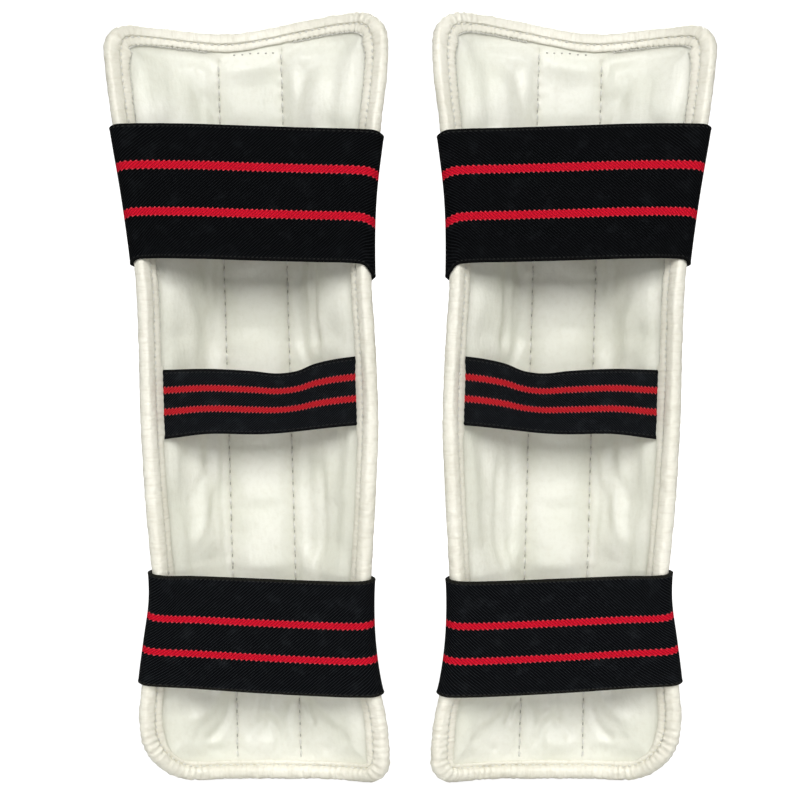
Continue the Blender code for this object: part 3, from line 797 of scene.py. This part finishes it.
def loosen(x, steps):
    """Smooths a closed line a little."""
    for _ in range(steps):
        x = 0.5 * x + 0.25 * (np.roll(x, 1) + np.roll(x, -1))
    return x


RING = 0.7
out_a, out_z = half_path(-1)
in_a, in_z = half_path(1)
s_out, (out_a, out_z) = even(lift(out_a, out_z, 0), RING, out_a, out_z)
s_in, (in_a, in_z) = even(lift(in_a, in_z, 0), RING, in_a, in_z)
# once round: top centre, outer wing, bottom centre, inner wing and back
BOTTOM = len(out_a) - 1
loop_a = np.concatenate([out_a, in_a[::-1][1:-1]])
loop_z = np.concatenate([out_z, in_z[::-1][1:-1]])
loop_a, loop_z = loosen(loop_a, 14), loosen(loop_z, 14)
loop_s = np.concatenate([s_out, s_out[-1] + s_in[1:-1]])
ta, tz = np.roll(loop_a, -1) - np.roll(loop_a, 1), np.roll(loop_z, -1) - np.roll(loop_z, 1)
size = np.hypot(ta, tz)
in_x, in_y = -tz / size, ta / size
turning = np.abs(np.roll(in_x, -6) - np.roll(in_x, 6)) + np.abs(np.roll(in_y, -6) - np.roll(in_y, 6))
CORNER = loosen(smooth(turning * 2.2), 30)


def rim_profile():
    """The edging's section: e runs inwards over the guard from the middle of the roll, h towards the leg."""
    pts = [(6.0, 1.4), (6.9, 1.55), (7.35, 1.95), (7.35, 2.55), (6.95, 2.95), (6.2, 3.1), (5.4, 3.05), (4.7, 2.8), (4.1, 2.4), (3.65, 2.15)]
    for f in np.radians(np.linspace(32, 328, 27)):
        e = (4.75 if math.cos(f) < 0 else 4.1) * math.cos(f)
        pts.append((e, 4.55 * math.sin(f)))
    pts += [(3.65, -2.15), (4.1, -2.45), (4.8, -2.7), (5.5, -2.65), (6.0, -2.2), (6.1, -1.5), (5.4, -0.8), (5.2, 0.6)]
    return np.array(pts)


PROFILE = rim_profile()
rim_step = np.linalg.norm(np.diff(np.concatenate([PROFILE, PROFILE[:1]]), axis=0), axis=1)
rim_q = np.concatenate([[0], np.cumsum(rim_step)[:-1]])


def rim_rings():
    e = np.repeat(PROFILE[None, :, 0], len(loop_a), 0)
    h = np.repeat(PROFILE[None, :, 1], len(loop_a), 0)
    s = loop_s[:, None]
    angle = np.arctan2(PROFILE[:, 1], PROFILE[:, 0])[None, :]
    radius = np.hypot(PROFILE[:, 0], PROFILE[:, 1])[None, :]
    on_roll = ((np.arange(len(PROFILE)) >= 9) & (np.arange(len(PROFILE)) <= 37))[None, :].astype(float)
    on_strip = ((np.arange(len(PROFILE)) >= 1) & (np.arange(len(PROFILE)) <= 8))[None, :].astype(float)
    # seen from the leg the roll is slim along the top, wider down the sides and at the foot
    level = smooth((np.abs(in_y) - 0.35) / 0.5)[:, None]
    w_top = level * smooth((loop_z[:, None] - 300) / 20)
    w_foot = level * smooth((70 - loop_z[:, None]) / 20)
    w_up = (1 - level) * smooth((loop_z[:, None] - 312) / 26)
    w_side = 1 - level
    valley = 3.65 - 2.75 * w_top - 1.45 * w_side - 0.2 * w_up - 1.2 * w_foot
    reach = 7.35 - 2.9 * w_top - 0.3 * w_up - 2.6 * w_foot - 0.5 * w_side * smooth((90 - loop_z[:, None]) / 40)
    round_top = CORNER[:, None] * smooth((loop_z[:, None] - 300) / 20)
    valley, reach = valley + 0.5 * round_top, reach + 1.7 * round_top
    e = np.where(e > 3.65, valley + (e - 3.65) / 3.7 * (reach - valley), np.where(e > 0, e / 3.65 * valley, e))
    flatter = np.maximum(0.26 * w_top, w_side * (0.28 + 0.16 * smooth((loop_z[:, None] - 150) / 60)))
    h = np.where((on_roll > 0) & (h > 2.15), 2.15 + (h - 2.15) * (1 - 1.6 * flatter), h)
    groove = ((np.arange(len(PROFILE)) == 8) | (np.arange(len(PROFILE)) == 9))[None, :]
    h = h + groove * 0.35 * w_top
    # gathers: each stitch of the valley draws the roll in
    low = smooth((60 - loop_z) / 50)[:, None]
    strong = 0.08 + 0.42 * np.clip(CORNER[:, None] + 0.6 * low, 0, 1)
    strong = strong * (0.75 + 0.45 * wave(s, 31, 9.0))
    phase = 2 * np.pi * s / STITCH + 0.9 * wave(s, 32, 14.0)
    near = 0.35 + 0.65 * smooth((np.abs(np.cos(angle / 2)) - 0.35) / 0.6)
    ripple = strong * near * np.cos(phase + 0.8 * np.sin(angle)) * on_roll
    second = (0.10 + 0.45 * strong) * wave2(s, radius * angle, 33, 1.9) * on_roll
    plump = (0.2 * wave(s, 34, 26.0) + 0.16 * wave2(s, radius * angle, 38, 3.6)) * on_roll
    grow = (ripple + second + plump) / np.maximum(radius, 1)
    e, h = e * (1 + grow), h * (1 + grow)
    # the strip's raw edge wanders, and is cut with teeth on the upper part of the guard
    zed = (np.abs(((s / 2.9) % 1.0) * 2 - 1) - 0.5) * smooth((loop_z[:, None] - 318) / 14) * smooth((np.abs(loop_a)[:, None] - 14) / 10)
    tucked = smooth((19.5 - np.abs(loop_z[:, None] - 189)) / 4) * smooth((np.abs(loop_a)[:, None] - 40) / 4)
    wander = 0.28 * wave(s, 35, 11.0) + 0.15 * wave(s, 36, 4.0) + 0.8 * zed + np.where(loop_a < 0, 2.4, 1.3)[:, None] * tucked
    e = e + on_strip * wander * smooth((PROFILE[None, :, 0] - 4.4) / 2.0)
    e = np.where((e > 4) & (PROFILE[None, :, 1] < -1) & (w_top + w_foot > 0), np.minimum(e, 6.1 - 1.4 * (w_top + w_foot)), e)
    h = h + on_strip * (0.12 * wave(s, 37, 6.0) + 0.06 * np.cos(2 * np.pi * s / STITCH)) * smooth((PROFILE[None, :, 1] - 1.7) / 1.0)
    return e, h, valley[:, 0], reach[:, 0], w_top[:, 0]


rim_e, rim_h, VALLEY, REACH, ON_TOP = rim_rings()
RIM = lift(loop_a[:, None] + rim_e * in_x[:, None], loop_z[:, None] + rim_e * in_y[:, None], rim_h)
RIM[..., 2] = np.maximum(RIM[..., 2], 0.02)
rim_flat = np.stack(np.broadcast_arrays(loop_s[:, None], rim_q[None, :]), -1)
# tint mask: at the edging's stitched valley, on both faces
rim_valley_tint = np.broadcast_to(np.clip(1.2 * np.exp(-(np.hypot(PROFILE[:, 0] - 3.65, np.abs(PROFILE[:, 1]) - 2.15)) / 0.8), 0, 1)[None, :], RIM.shape[:2])


def part_of_loop(wing):
    n = len(loop_a)
    return np.arange(0, BOTTOM + 1) if wing < 0 else np.append(np.arange(BOTTOM, n), 0)


for side, hand in HANDS.items():
    for wing in (-1, 1):
        rows = part_of_loop(wing)
        points, cols = RIM[rows], RIM.shape[1]
        flat = rim_flat[rows].copy()
        if wing > 0:
            flat[-1, :, 0] = loop_s[-1] + RING
        n = len(rows)
        caps = (list(range(cols))[::-1], [(n - 1) * cols + k for k in range(cols)])
        obj = make(f"{hand}_{WING[wing]}_rolled_edge", points, grid_faces(n, cols, closed=True), EDGING, side, flat, rim_valley_tint[rows], caps)
        bend_with(obj)
        stands = [f"{hand}_{WING[wing]}_wing_edging", f"{hand}_shin_{'top' if wing < 0 else 'bottom'}_edging"]
        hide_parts(*stands)


# ---------------------------------------------------------------- stitches
def capsules(centre, along, up, length, radius, sink):
    """One small rounded thread loop per row: its ends dive into the sheet."""
    x = np.array([-1, -0.86, -0.5, 0, 0.5, 0.86, 1.0])
    r = radius * np.array([0.25, 0.72, 1, 1, 1, 0.72, 0.25])
    drop = -sink * np.abs(x) ** 3
    f = np.arange(6) * math.pi / 3
    t = along / np.linalg.norm(along, axis=1, keepdims=True)
    u = up - t * (up * t).sum(1, keepdims=True)
    u /= np.linalg.norm(u, axis=1, keepdims=True)
    b = np.cross(t, u)
    pts = (
        centre[:, None, None]
        + t[:, None, None] * (x * length / 2)[None, :, None, None]
        + u[:, None, None] * (drop[:, None] + r[:, None] * np.sin(f)[None, :])[None, :, :, None]
        + b[:, None, None] * (r[:, None] * np.cos(f)[None, :])[None, :, :, None]
    )
    n, rings, sides = pts.shape[:3]
    one = grid_faces(rings, sides, closed=True)
    quads = (one[None] + (np.arange(n) * rings * sides)[:, None, None]).reshape(-1, 4)
    cap0 = np.array([[0, 1, 2, 3], [0, 3, 4, 5]])[:, ::-1]
    cap1 = cap0[:, ::-1] + (rings - 1) * sides
    ends = np.concatenate([cap0, cap1])
    quads = np.concatenate([quads, (ends[None] + (np.arange(n) * rings * sides)[:, None, None]).reshape(-1, 4)])
    flat = np.stack(np.broadcast_arrays((x * length / 2)[None, :, None] + np.arange(n)[:, None, None] * 5.0, (f * radius)[None, None, :]), -1)
    return pts.reshape(-1, 3), quads, flat.reshape(-1, 2)


def line_of_stitches(points, up, pitch, share=0.74, radius=0.3, sink=0.5, seed=1, wobble=0.15):
    s = np.concatenate([[0], np.cumsum(np.linalg.norm(np.diff(points, axis=0), axis=1))])
    at = np.arange(pitch / 2, s[-1] - pitch / 2, pitch)
    c = np.stack([np.interp(at, s, points[:, k]) for k in range(3)], -1)
    n = np.stack([np.interp(at, s, up[:, k]) for k in range(3)], -1)
    t = np.stack([np.interp(at + 0.6, s, points[:, k]) - np.interp(at - 0.6, s, points[:, k]) for k in range(3)], -1)
    rng = np.random.RandomState(seed)
    b = np.cross(t / np.linalg.norm(t, axis=1, keepdims=True), n)
    c = c + b * rng.uniform(-wobble, wobble, (len(c), 1))
    t = t + b * rng.uniform(-0.12, 0.12, (len(c), 1)) * np.linalg.norm(t, axis=1, keepdims=True)
    return capsules(c, t, n, pitch * share, radius, sink)


def zigzag(la, lz, ix, iy, reach, seed):
    """The loose overlock that shows at the strip's raw edge on the upper half of the guard."""
    n = len(la)
    k = np.arange(6, n - 6, 2)
    k = k[(lz[k] > 178) & (np.abs(la[k]) > 20)]
    rng = np.random.RandomState(seed)
    sway = np.where(np.arange(len(k)) % 2, 0.7, 0.0) + rng.uniform(-0.15, 0.15, len(k))
    e = reach[k] + sway
    tucked = smooth((19.5 - np.abs(lz[k] - 189)) / 4) * (np.abs(la[k]) > 40)
    a, z = la[k] + e * ix[k], lz[k] + e * iy[k]
    c = lift(a, z, np.full(len(k), 2.4))
    o = lift(a, z, np.full(len(k), 3.4)) - c
    t = np.roll(c, -1, 0) - c
    keep = (tucked < 0.01) & (np.linalg.norm(t, axis=1) < 4)
    return capsules(c[keep] + t[keep] / 2, t[keep], o[keep], 1.5, 0.33, 0.5)


def merge(parts):
    points, quads, flats, n = [], [], [], 0
    for p, q, f in parts:
        points.append(p)
        quads.append(q + n)
        flats.append(f)
        n += len(p)
    return np.concatenate(points), np.concatenate(quads), np.concatenate(flats)


for side, hand in HANDS.items():
    for wing in (-1, 1):
        z = np.arange(QUILT_FROM, float(top_height(wing * SEAM_U)) - 2 * RIM_R - 3.0, 0.5)
        U = wing * (SEAM_U + 0.15 * wave(z, 41 + wing, 17.0))
        leg = np.stack([U, MID_V - 1.78 - 0.0 * z, z], -1)
        back = np.stack([U, MID_V + 1.45 + 0.0 * z, z], -1)
        up = np.tile([0.0, -1.0, 0.0], (len(z), 1))
        p, q, f = merge(
            [
                line_of_stitches(leg, up, QUILT, 0.62, 0.50, 0.8, 50 + wing),
                line_of_stitches(back, -up, QUILT, 0.70, 0.42, 0.7, 52 + wing),
            ]
        )
        obj = make(f"{hand}_{WING[wing]}_quilting_stitches", p, q, THREAD, side, f)
        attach(obj, f"{hand}_shin")
        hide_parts(f"{hand}_{WING[wing]}_seam_thread")

        rows = part_of_loop(wing)
        la, lz, ix, iy = loop_a[rows], loop_z[rows], in_x[rows], in_y[rows]
        at = VALLEY[rows] + 0.15
        lines = []
        for face in (1, -1):
            rest = 2.4 + 0.3 * ON_TOP[rows] * (face > 0)
            c = lift(la + at * ix, lz + at * iy, face * rest)
            o = lift(la + at * ix, lz + at * iy, face * (rest + 1.0)) - c
            lines.append(line_of_stitches(c, o, STITCH, 0.66, 0.48, 0.7, 60 + wing + face))
        lines.append(zigzag(la, lz, ix, iy, REACH[rows], 70 + wing))
        p, q, f = merge(lines)
        obj = make(f"{hand}_{WING[wing]}_edge_stitches", p, q, THREAD, side, f)
        bend_with(obj)


# painted shade: grey capsules on the lining stand in for the shadowed needle holes, in a row across the top of the shin
# panel and between the stitches of each quilting seam
for side, hand in HANDS.items():
    U = np.array([-7.6, -3.6, 0.4, 4.4, 8.2, 11.8])
    z = 362.0 + 1.2 * (U + 6.2) / 19.2 + 0.2 * np.sin(U * 2.0)
    c = lift(U, z, np.full(len(U), 1.75))
    up = np.tile([0.0, -1.0, 0.0], (len(U), 1))
    hole_shades = [capsules(c, np.tile([1.0, 0.0, 0.1], (len(U), 1)), up, 1.1, 0.36, 0.2)]
    for wing in (-1, 1):
        z = np.arange(QUILT_FROM + QUILT, float(top_height(wing * SEAM_U)) - 2 * RIM_R - 6.0, QUILT)
        c = np.stack([wing * (SEAM_U + 0.15 * wave(z, 41 + wing, 17.0)), np.full(len(z), MID_V - 1.02), z], -1)
        up = np.tile([0.0, -1.0, 0.0], (len(z), 1))
        hole_shades.append(capsules(c, np.tile([0.0, 0.0, 1.0], (len(z), 1)), up, 2.3, 0.33, 0.2))
    p, q, f = merge(hole_shades)
    obj = make(f"{hand}_needle_hole_shade", p, q, HOLE_SHADE, side, f)
    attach(obj, f"{hand}_shin")


# ---------------------------------------------------------------- elastic straps
# lower and upper edge of each strap across the back of the guard, by U
EDGES = {
    "calf": np.array(((-67, 252.5, 318.5), (-63, 254.8, 321.6), (-57, 257.0, 323.1), (-30, 257.3, 323.2), (0, 256.4, 322.2), (30, 255.6, 321.2), (54, 254.8, 320.4), (60, 252.4, 319.0), (67, 247.3, 313.5))),
    "middle": np.array(((-46, 170.4, 204.0), (-43.5, 170.6, 204.1), (-23, 173.0, 204.6), (-1, 172.8, 203.6), (10.6, 173.3, 202.4), (20.7, 174.3, 203.6), (29.6, 175.3, 207.1), (40, 176.4, 209.4), (49.2, 177.2, 210.6), (52, 177.3, 210.8))),
    "ankle": np.array(((-62, 55.3, 111.0), (-57, 52.4, 108.0), (-51, 50.8, 105.4), (-30, 49.1, 104.9), (0, 47.0, 103.7), (30, 45.4, 102.5), (48, 44.9, 102.3), (54, 46.0, 103.6), (58, 48.0, 106.6), (62, 50.5, 109.5))),
}
JOIN_U = {"calf": 40.0, "middle": 30.0, "ankle": 38.0}


def cover_point(wing, w, z):
    """A point of the finished cover, at a share w of the way from the seam to the rolled edge, for one height."""
    length = wing_length(wing, z)
    a = wing * (SEAM_U + w * (length - PINCH))
    seam = w * (length - PINCH)
    h = cover_height(wing, a, z, seam, length - PINCH - seam, np.full_like(z, 60.0), np.full_like(z, 60.0))
    return lift(a, z, -h)


def taut(points):
    """The string that runs from the first point to the last and is pushed out by the ones between."""
    keep = [0]
    while keep[-1] < len(points) - 1:
        i = keep[-1]
        d = points[i + 1 :] - points[i]
        turn = np.unwrap(np.arctan2(d[:, 1], d[:, 0]))
        keep.append(i + 1 + int(np.argmax(turn)))
    return points[keep]


def resample(line, n):
    s = np.concatenate([[0], np.cumsum(np.linalg.norm(np.diff(line, axis=0), axis=1))])
    at = np.linspace(0, s[-1], n)
    return np.stack([np.interp(at, s, line[:, k]) for k in range(line.shape[1])], -1)


def wrap_table(wing, strap, heights, counts):
    """The strap's middle plane at each height, from its sewn end on the front of a wing to the guard's centre: (|U|, v)."""
    gap = STRAPS[strap]["thick"] / 2 + 0.3
    radius = RIM_R + gap
    rows = []
    for z in heights:
        hw, back = float(half_width(wing, z)), float(depth(z))
        centre = np.array([hw - RIM_R, -back])
        w = np.linspace(0.5, 0.97, 20)
        cover = cover_point(wing, w, np.full(len(w), z))
        m = sheet(wing * (SEAM_U + w * (wing_length(wing, z) - PINCH)), np.full(len(w), z))
        front = np.stack([np.abs(cover[:, 0]) + np.abs(m[:, 2]) * gap, cover[:, 1] + m[:, 3] * gap], -1)
        f = np.radians(np.linspace(80, -90, 60))
        circle = centre + radius * np.stack([np.cos(f), np.sin(f)], -1)
        outermost = int(np.argmax(circle[:, 0]))
        over = taut(np.concatenate([front, circle[: outermost + 1]]))
        line = [resample(over, counts[0]), resample(circle[outermost:], counts[1])[1:]]
        end = circle[-1]
        join = np.array([JOIN_U[strap], end[1]])
        line.append(resample(np.stack([end, join]), counts[2])[1:])
        line.append(resample(np.stack([join, [0.0, end[1]]]), counts[3])[1:])
        rows.append(np.concatenate(line))
    return np.array(rows)


def tuck_table(wing, strap, heights, counts):
    """The middle strap comes out from under the edging's strip and runs straight across."""
    gap = STRAPS[strap]["thick"] / 2
    rows = []
    for z in heights:
        length = float(wing_length(wing, z))
        p = lift(wing * (SEAM_U + length - np.array([5.3, 8.3])), np.full(2, z), np.array([1.75, 1.9 + gap]))
        a, b = (np.array([abs(q[0]), q[1]]) for q in p)
        join = np.array([JOIN_U[strap], b[1] - 0.3])
        c = b + np.array([-2.2, -0.15])
        line = [resample(np.stack([a, b]), counts[0]), resample(np.stack([b, c]), counts[1])[1:]]
        line.append(resample(np.stack([c, join]), counts[2])[1:])
        line.append(resample(np.stack([join, [0.0, join[1]]]), counts[3])[1:])
        rows.append(np.concatenate(line))
    return np.array(rows)


WRAP_COLUMNS = 56


def strap_grid(strap, wing, steps):
    """Middle plane points (U, v, z), rows across the strap and columns along it, with its flat coordinates."""
    low, high = EDGES[strap][0, 1] - 12, EDGES[strap][:, 2].max() + 12
    heights = np.arange(low, high, 1.5)
    if strap == "middle":
        counts = (5, 4, 20, 32)
        table = tuck_table(wing, strap, heights, counts)
    else:
        counts = (44, WRAP_COLUMNS - 42, 26, 40)
        table = wrap_table(wing, strap, heights, counts)
    for _ in range(6):  # evens out jumps between heights
        table[1:-1] = 0.5 * table[1:-1] + 0.25 * (table[:-2] + table[2:])
    k = np.arange(table.shape[1])
    nominal = np.array([np.interp((low + high) / 2, heights, table[:, i, 0]) for i in k])
    widest = int(np.argmax(nominal))
    along_u = nominal.copy()
    along_u[:widest] = nominal[widest] + 0.4 * (nominal[widest] - nominal[:widest])
    lo, hi = hermite(EDGES[strap], wing * along_u, 1), hermite(EDGES[strap], wing * along_u, 2)
    t = steps[:, None]
    z = lo[None] * (1 - t) + hi[None] * t
    if strap == "calf":  # the lower edge droops where it turns round the rolled edge
        droop = 4.6 * smooth((along_u - 56) / 8) if wing > 0 else 2.4 * smooth((along_u - 57) / 8)
        z = z - droop[None] * (1 - smooth(t / 0.4))
    U = np.empty_like(z)
    v = np.empty_like(z)
    for i in k:
        U[:, i] = np.interp(z[:, i], heights, table[:, i, 0])
        v[:, i] = np.interp(z[:, i], heights, table[:, i, 1])
    p = np.stack([wing * U, v, z], -1)
    mid = p[len(p) // 2]
    s = np.concatenate([[0], np.cumsum(np.linalg.norm(np.diff(mid, axis=0), axis=1))])
    s = wing * (s[-1] - s)
    return p, s, sum(counts[:3]) - 3


def strap_mesh(strap, wing, cols_from, cols_to, grid, s, steps, width):
    """A closed strap piece between two columns of the grid: slightly thicker, rounded edges."""
    thick = STRAPS[strap]["thick"]
    g_s = np.gradient(grid, axis=1)
    g_t = np.gradient(grid, axis=0)
    n = np.cross(g_s, g_t)
    n /= np.linalg.norm(n, axis=-1, keepdims=True)
    last = n[:, -1].mean(0)
    if last[1] > 0:
        n = -n
    t = steps * width
    edge = np.minimum(t, width - t)
    half = thick / 2 * np.sqrt(np.clip(1 - (1 - np.minimum(edge / (thick * 0.62), 1)) ** 2, 0.0, 1)) * 0.92
    half = half * (1 + 0.22 * np.exp(-(((edge - 0.9) / 0.7) ** 2)))
    half = np.maximum(half, 0.05)[:, None, None]
    g, m = grid[:, cols_from : cols_to + 1], n[:, cols_from : cols_to + 1]
    out, inn = g + m * half, g - m * half
    rows, cols = g.shape[:2]
    section = np.concatenate([out, inn[::-1]])  # round the strap
    points = np.swapaxes(section, 0, 1)  # columns of the strap are now rings
    flat_s = np.broadcast_to(s[cols_from : cols_to + 1][:, None], (cols, 2 * rows))
    flat_t = np.broadcast_to(np.concatenate([t, t[::-1]])[None], (cols, 2 * rows))
    caps = (list(range(2 * rows))[::-1], [(cols - 1) * 2 * rows + k for k in range(2 * rows)])
    quads = grid_faces(cols, 2 * rows, closed=True)
    return points, quads, np.stack([flat_s, flat_t], -1), caps


STRAP_MATS = {}
STRAP_GRIDS = {}
for strap, look in STRAPS.items():
    e = EDGES[strap]
    width = float(np.interp(0, e[:, 0], e[:, 2] - e[:, 1]))
    look["width"] = width
    STRAP_MATS[strap] = webbing(f"{strap}_elastic", width, look["stripes"], look["stripe"], look["red"], look["twill"], look["tone"], look["selvedge"])
    n = int(width / 1.5)
    steps = np.concatenate([[0, 0.35, 0.9, 1.5], np.linspace(2.2, width - 2.2, n), [width - 1.5, width - 0.9, width - 0.35, width]]) / width
    for wing in (-1, 1):
        grid, s, join = strap_grid(strap, wing, steps)
        if strap == "middle":
            grid[..., 1] += (0.9 * np.sin(s / 11.0)[None] + 0.5 * np.sin(s / 6.0 + 1)[None] * steps[:, None]) * smooth((44 - np.abs(s)) / 20)[None]
        STRAP_GRIDS[strap, wing] = grid, s, join, steps

for side, hand in HANDS.items():
    for strap, look in STRAPS.items():
        for wing in (-1, 1):
            grid, s, join, steps = STRAP_GRIDS[strap, wing]
            last = grid.shape[1] - 1
            turn = 0 if strap == "middle" else WRAP_COLUMNS  # where the strap leaves the rolled edge
            for which, lo, hi in (("wrap", 0, turn), ("run", turn, join), ("span", join, last)):
                if lo == hi:
                    continue
                p, q, f, caps = strap_mesh(strap, wing, lo, hi, grid, s, steps, look["width"])
                obj = make(f"{hand}_{strap}_strap_{WING[wing]}_{which}", p, q, STRAP_MATS[strap], side, f, None, caps)
                z = 0.5 * (EDGES[strap][0, 1] + EDGES[strap][0, 2])
                spot = lambda U: Vector(world(side, np.array([wing * U, 0.0, z])))
                inwards = Vector((-side * wing, 0, -wing * LEAN)).normalized() * 0.001  # square to the leaning joins
                at = JOIN_U[strap]
                if which == "wrap":
                    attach(obj, f"{hand}_{WING[wing]}_wing")
                    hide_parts(f"{hand}_{strap}_strap_{WING[wing]}_end")
                elif which == "run":
                    end = spot(at + 0.3)
                    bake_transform(obj)
                    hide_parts(f"{hand}_{strap}_strap_{WING[wing]}_end")
                else:
                    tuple(spot(at))
                    spot(at) + inwards * (at - 2.0)
                    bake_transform(obj)
                    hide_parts(f"{hand}_{strap}_strap_span")


def sewn_end(grid, s, steps, width, thick):
    """A box of stitches with a cross, through the end of a strap on the front of the guard."""
    mid = grid[len(grid) // 2]
    run = np.concatenate([[0], np.cumsum(np.linalg.norm(np.diff(mid, axis=0), axis=1))])
    across = steps * width
    g_s, g_t = np.gradient(grid, axis=1), np.gradient(grid, axis=0)
    n = np.cross(g_s, g_t)
    n /= np.linalg.norm(n, axis=-1, keepdims=True)
    if n[0, 0, 1] < 0:
        n = -n

    def at(x, t):
        out = []
        for field in (grid, n):
            rows = np.stack([np.interp(x, run, field[j, :, k]) for j in range(len(grid)) for k in range(3)]).reshape(len(grid), 3, -1)
            j = np.clip(np.searchsorted(across, t) - 1, 0, len(across) - 2)
            f = (t - across[j]) / (across[j + 1] - across[j])
            i = np.arange(len(x))
            out.append(rows[j, :, i] * (1 - f)[:, None] + rows[j + 1, :, i] * f[:, None])
        return out

    x0, x1, t0, t1 = 2.2, 15.0, 3.4, width - 3.4
    lines = []
    for a, b, c, d in ((x0, t0, x0, t1), (x0, t1, x1, t1), (x1, t1, x1, t0), (x1, t0, x0, t0), (x0, t0, x1, t1), (x0, t1, x1, t0)):
        k = np.linspace(0, 1, 80)
        p, up = at(a + (c - a) * k, b + (d - b) * k)
        lines.append(line_of_stitches(p + up * (thick / 2 + 0.02), up, 2.9, 0.72, 0.26, 0.35, 90 + len(lines), 0.08))
    return merge(lines)


for side, hand in HANDS.items():
    for strap in ("calf", "ankle"):
        for wing in (-1, 1):
            grid, s, join, steps = STRAP_GRIDS[strap, wing]
            p, q, f = sewn_end(grid, s, steps, STRAPS[strap]["width"], STRAPS[strap]["thick"])
            obj = make(f"{hand}_{strap}_strap_{WING[wing]}_sewing", p, q, SEWING, side, f)
            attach(obj, f"{hand}_{WING[wing]}_wing")


# ---------------------------------------------------------------- stage, light and camera
def stage():
    xs = np.linspace(-4.0, 4.0, 41)
    ys = np.concatenate([np.linspace(-4.0, 1.2, 40), 1.2 + 1.2 * np.sin(np.linspace(0.05, math.pi / 2, 24))])
    zs = np.concatenate([np.zeros(40), 1.2 * (1 - np.cos(np.linspace(0.05, math.pi / 2, 24)))])
    ys, zs = np.append(ys, ys[-1]), np.append(zs, 4.0)
    pts = [(x, y, z - 0.0005) for y, z in zip(ys, zs) for x in xs]
    mesh = bpy.data.meshes.new("studio_floor")
    mesh.from_pydata(pts, [], grid_faces(len(ys), len(xs)).tolist())
    mesh.shade_smooth()
    g = Graph("studio_white")
    tex = g.node("ShaderNodeTexCoord").outputs["Object"]
    tone = g.mix(g.noise(tex, 3.0, 2.0), (0.60, 0.60, 0.60), (0.64, 0.64, 0.64))
    g.set(Base_Color=tone, Roughness=0.9, Specular_IOR_Level=0.1)
    # seen by the camera the floor is close to pure white, with only faint shadows; it lights the object like paper
    far = g.node("ShaderNodeVectorMath", {"operation": "LENGTH"})
    g.put(far.inputs[0], tex)
    glow = g.node("ShaderNodeEmission", Color=(1.0, 1.0, 1.0), Strength=g.span(far.outputs["Value"], 0.5, 1.4, 0.86, 1.0))
    some = g.tree.nodes.new("ShaderNodeMixShader")
    some.inputs[0].default_value = 0.42
    g.tree.links.new(g.bsdf.outputs[0], some.inputs[2])
    both = g.tree.nodes.new("ShaderNodeAddShader")
    g.tree.links.new(glow.outputs[0], both.inputs[0])
    g.tree.links.new(some.outputs[0], both.inputs[1])
    eye = g.node("ShaderNodeLightPath").outputs["Is Camera Ray"]
    pick = g.tree.nodes.new("ShaderNodeMixShader")
    g.tree.links.new(eye, pick.inputs[0])
    g.tree.links.new(g.bsdf.outputs[0], pick.inputs[1])
    g.tree.links.new(both.outputs[0], pick.inputs[2])
    g.tree.links.new(pick.outputs[0], g.out.inputs[0])
    mesh.materials.append(g.mat)
    obj = bpy.data.objects.new("studio_floor", mesh)
    bpy.context.scene.collection.objects.link(obj)


def lamp(name, place, aim, size, power, colour=(1, 1, 1)):
    light = bpy.data.lights.new(name, "AREA")
    light.shape = "RECTANGLE"
    light.size, light.size_y = size
    light.energy = power
    light.color = colour
    obj = bpy.data.objects.new(name, light)
    bpy.context.scene.collection.objects.link(obj)
    obj.location = place
    obj.rotation_euler = (Vector(aim) - Vector(place)).to_track_quat("-Z", "Y").to_euler()
    return obj


stage()
middle = (CAD_LO + CAD_HI) / 2
lamp("key", (0.0, -1.95, 1.30), middle, (1.9, 1.25), 40.5)
lamp("left_strip", (-1.35, -1.15, 0.95), middle, (0.28, 0.9), 5.0)
lamp("right_strip", (1.35, -1.15, 0.95), middle, (0.28, 0.9), 5.0)
lamp("low", (0.0, -0.80, 0.03), (0.0, 0.0, 0.02), (0.9, 0.10), 0.2).data.spread = math.radians(34)
lamp("rear", (0.0, 1.7, 1.5), middle, (1.2, 0.7), 34.0)
sky = bpy.data.worlds.new("studio")
bpy.context.scene.world = sky
sky.use_nodes = True
tree = sky.node_tree
fill = tree.nodes["Background"]
fill.inputs[0].default_value = (1, 1, 1, 1)
fill.inputs[1].default_value = 0.17
paper = tree.nodes.new("ShaderNodeBackground")  # beyond the floor the camera sees plain white
paper.inputs[0].default_value, paper.inputs[1].default_value = (1, 1, 1, 1), 1.0
seen = tree.nodes.new("ShaderNodeMixShader")
tree.links.new(tree.nodes.new("ShaderNodeLightPath").outputs["Is Camera Ray"], seen.inputs[0])
tree.links.new(fill.outputs[0], seen.inputs[1])
tree.links.new(paper.outputs[0], seen.inputs[2])
tree.links.new(seen.outputs[0], tree.nodes["World Output"].inputs[0])
bpy.context.scene.view_settings.view_transform = "Standard"

cam = bpy.data.cameras.new("camera")
cam.lens = 88.8
cam.sensor_width = 36
cam.clip_start = 0.01
camera = bpy.data.objects.new("camera", cam)
bpy.context.scene.collection.objects.link(camera)
camera.location = (-0.00503, -0.972, 0.1895)
camera.rotation_euler = (math.pi / 2, 0, 0)
bpy.context.scene.camera = camera
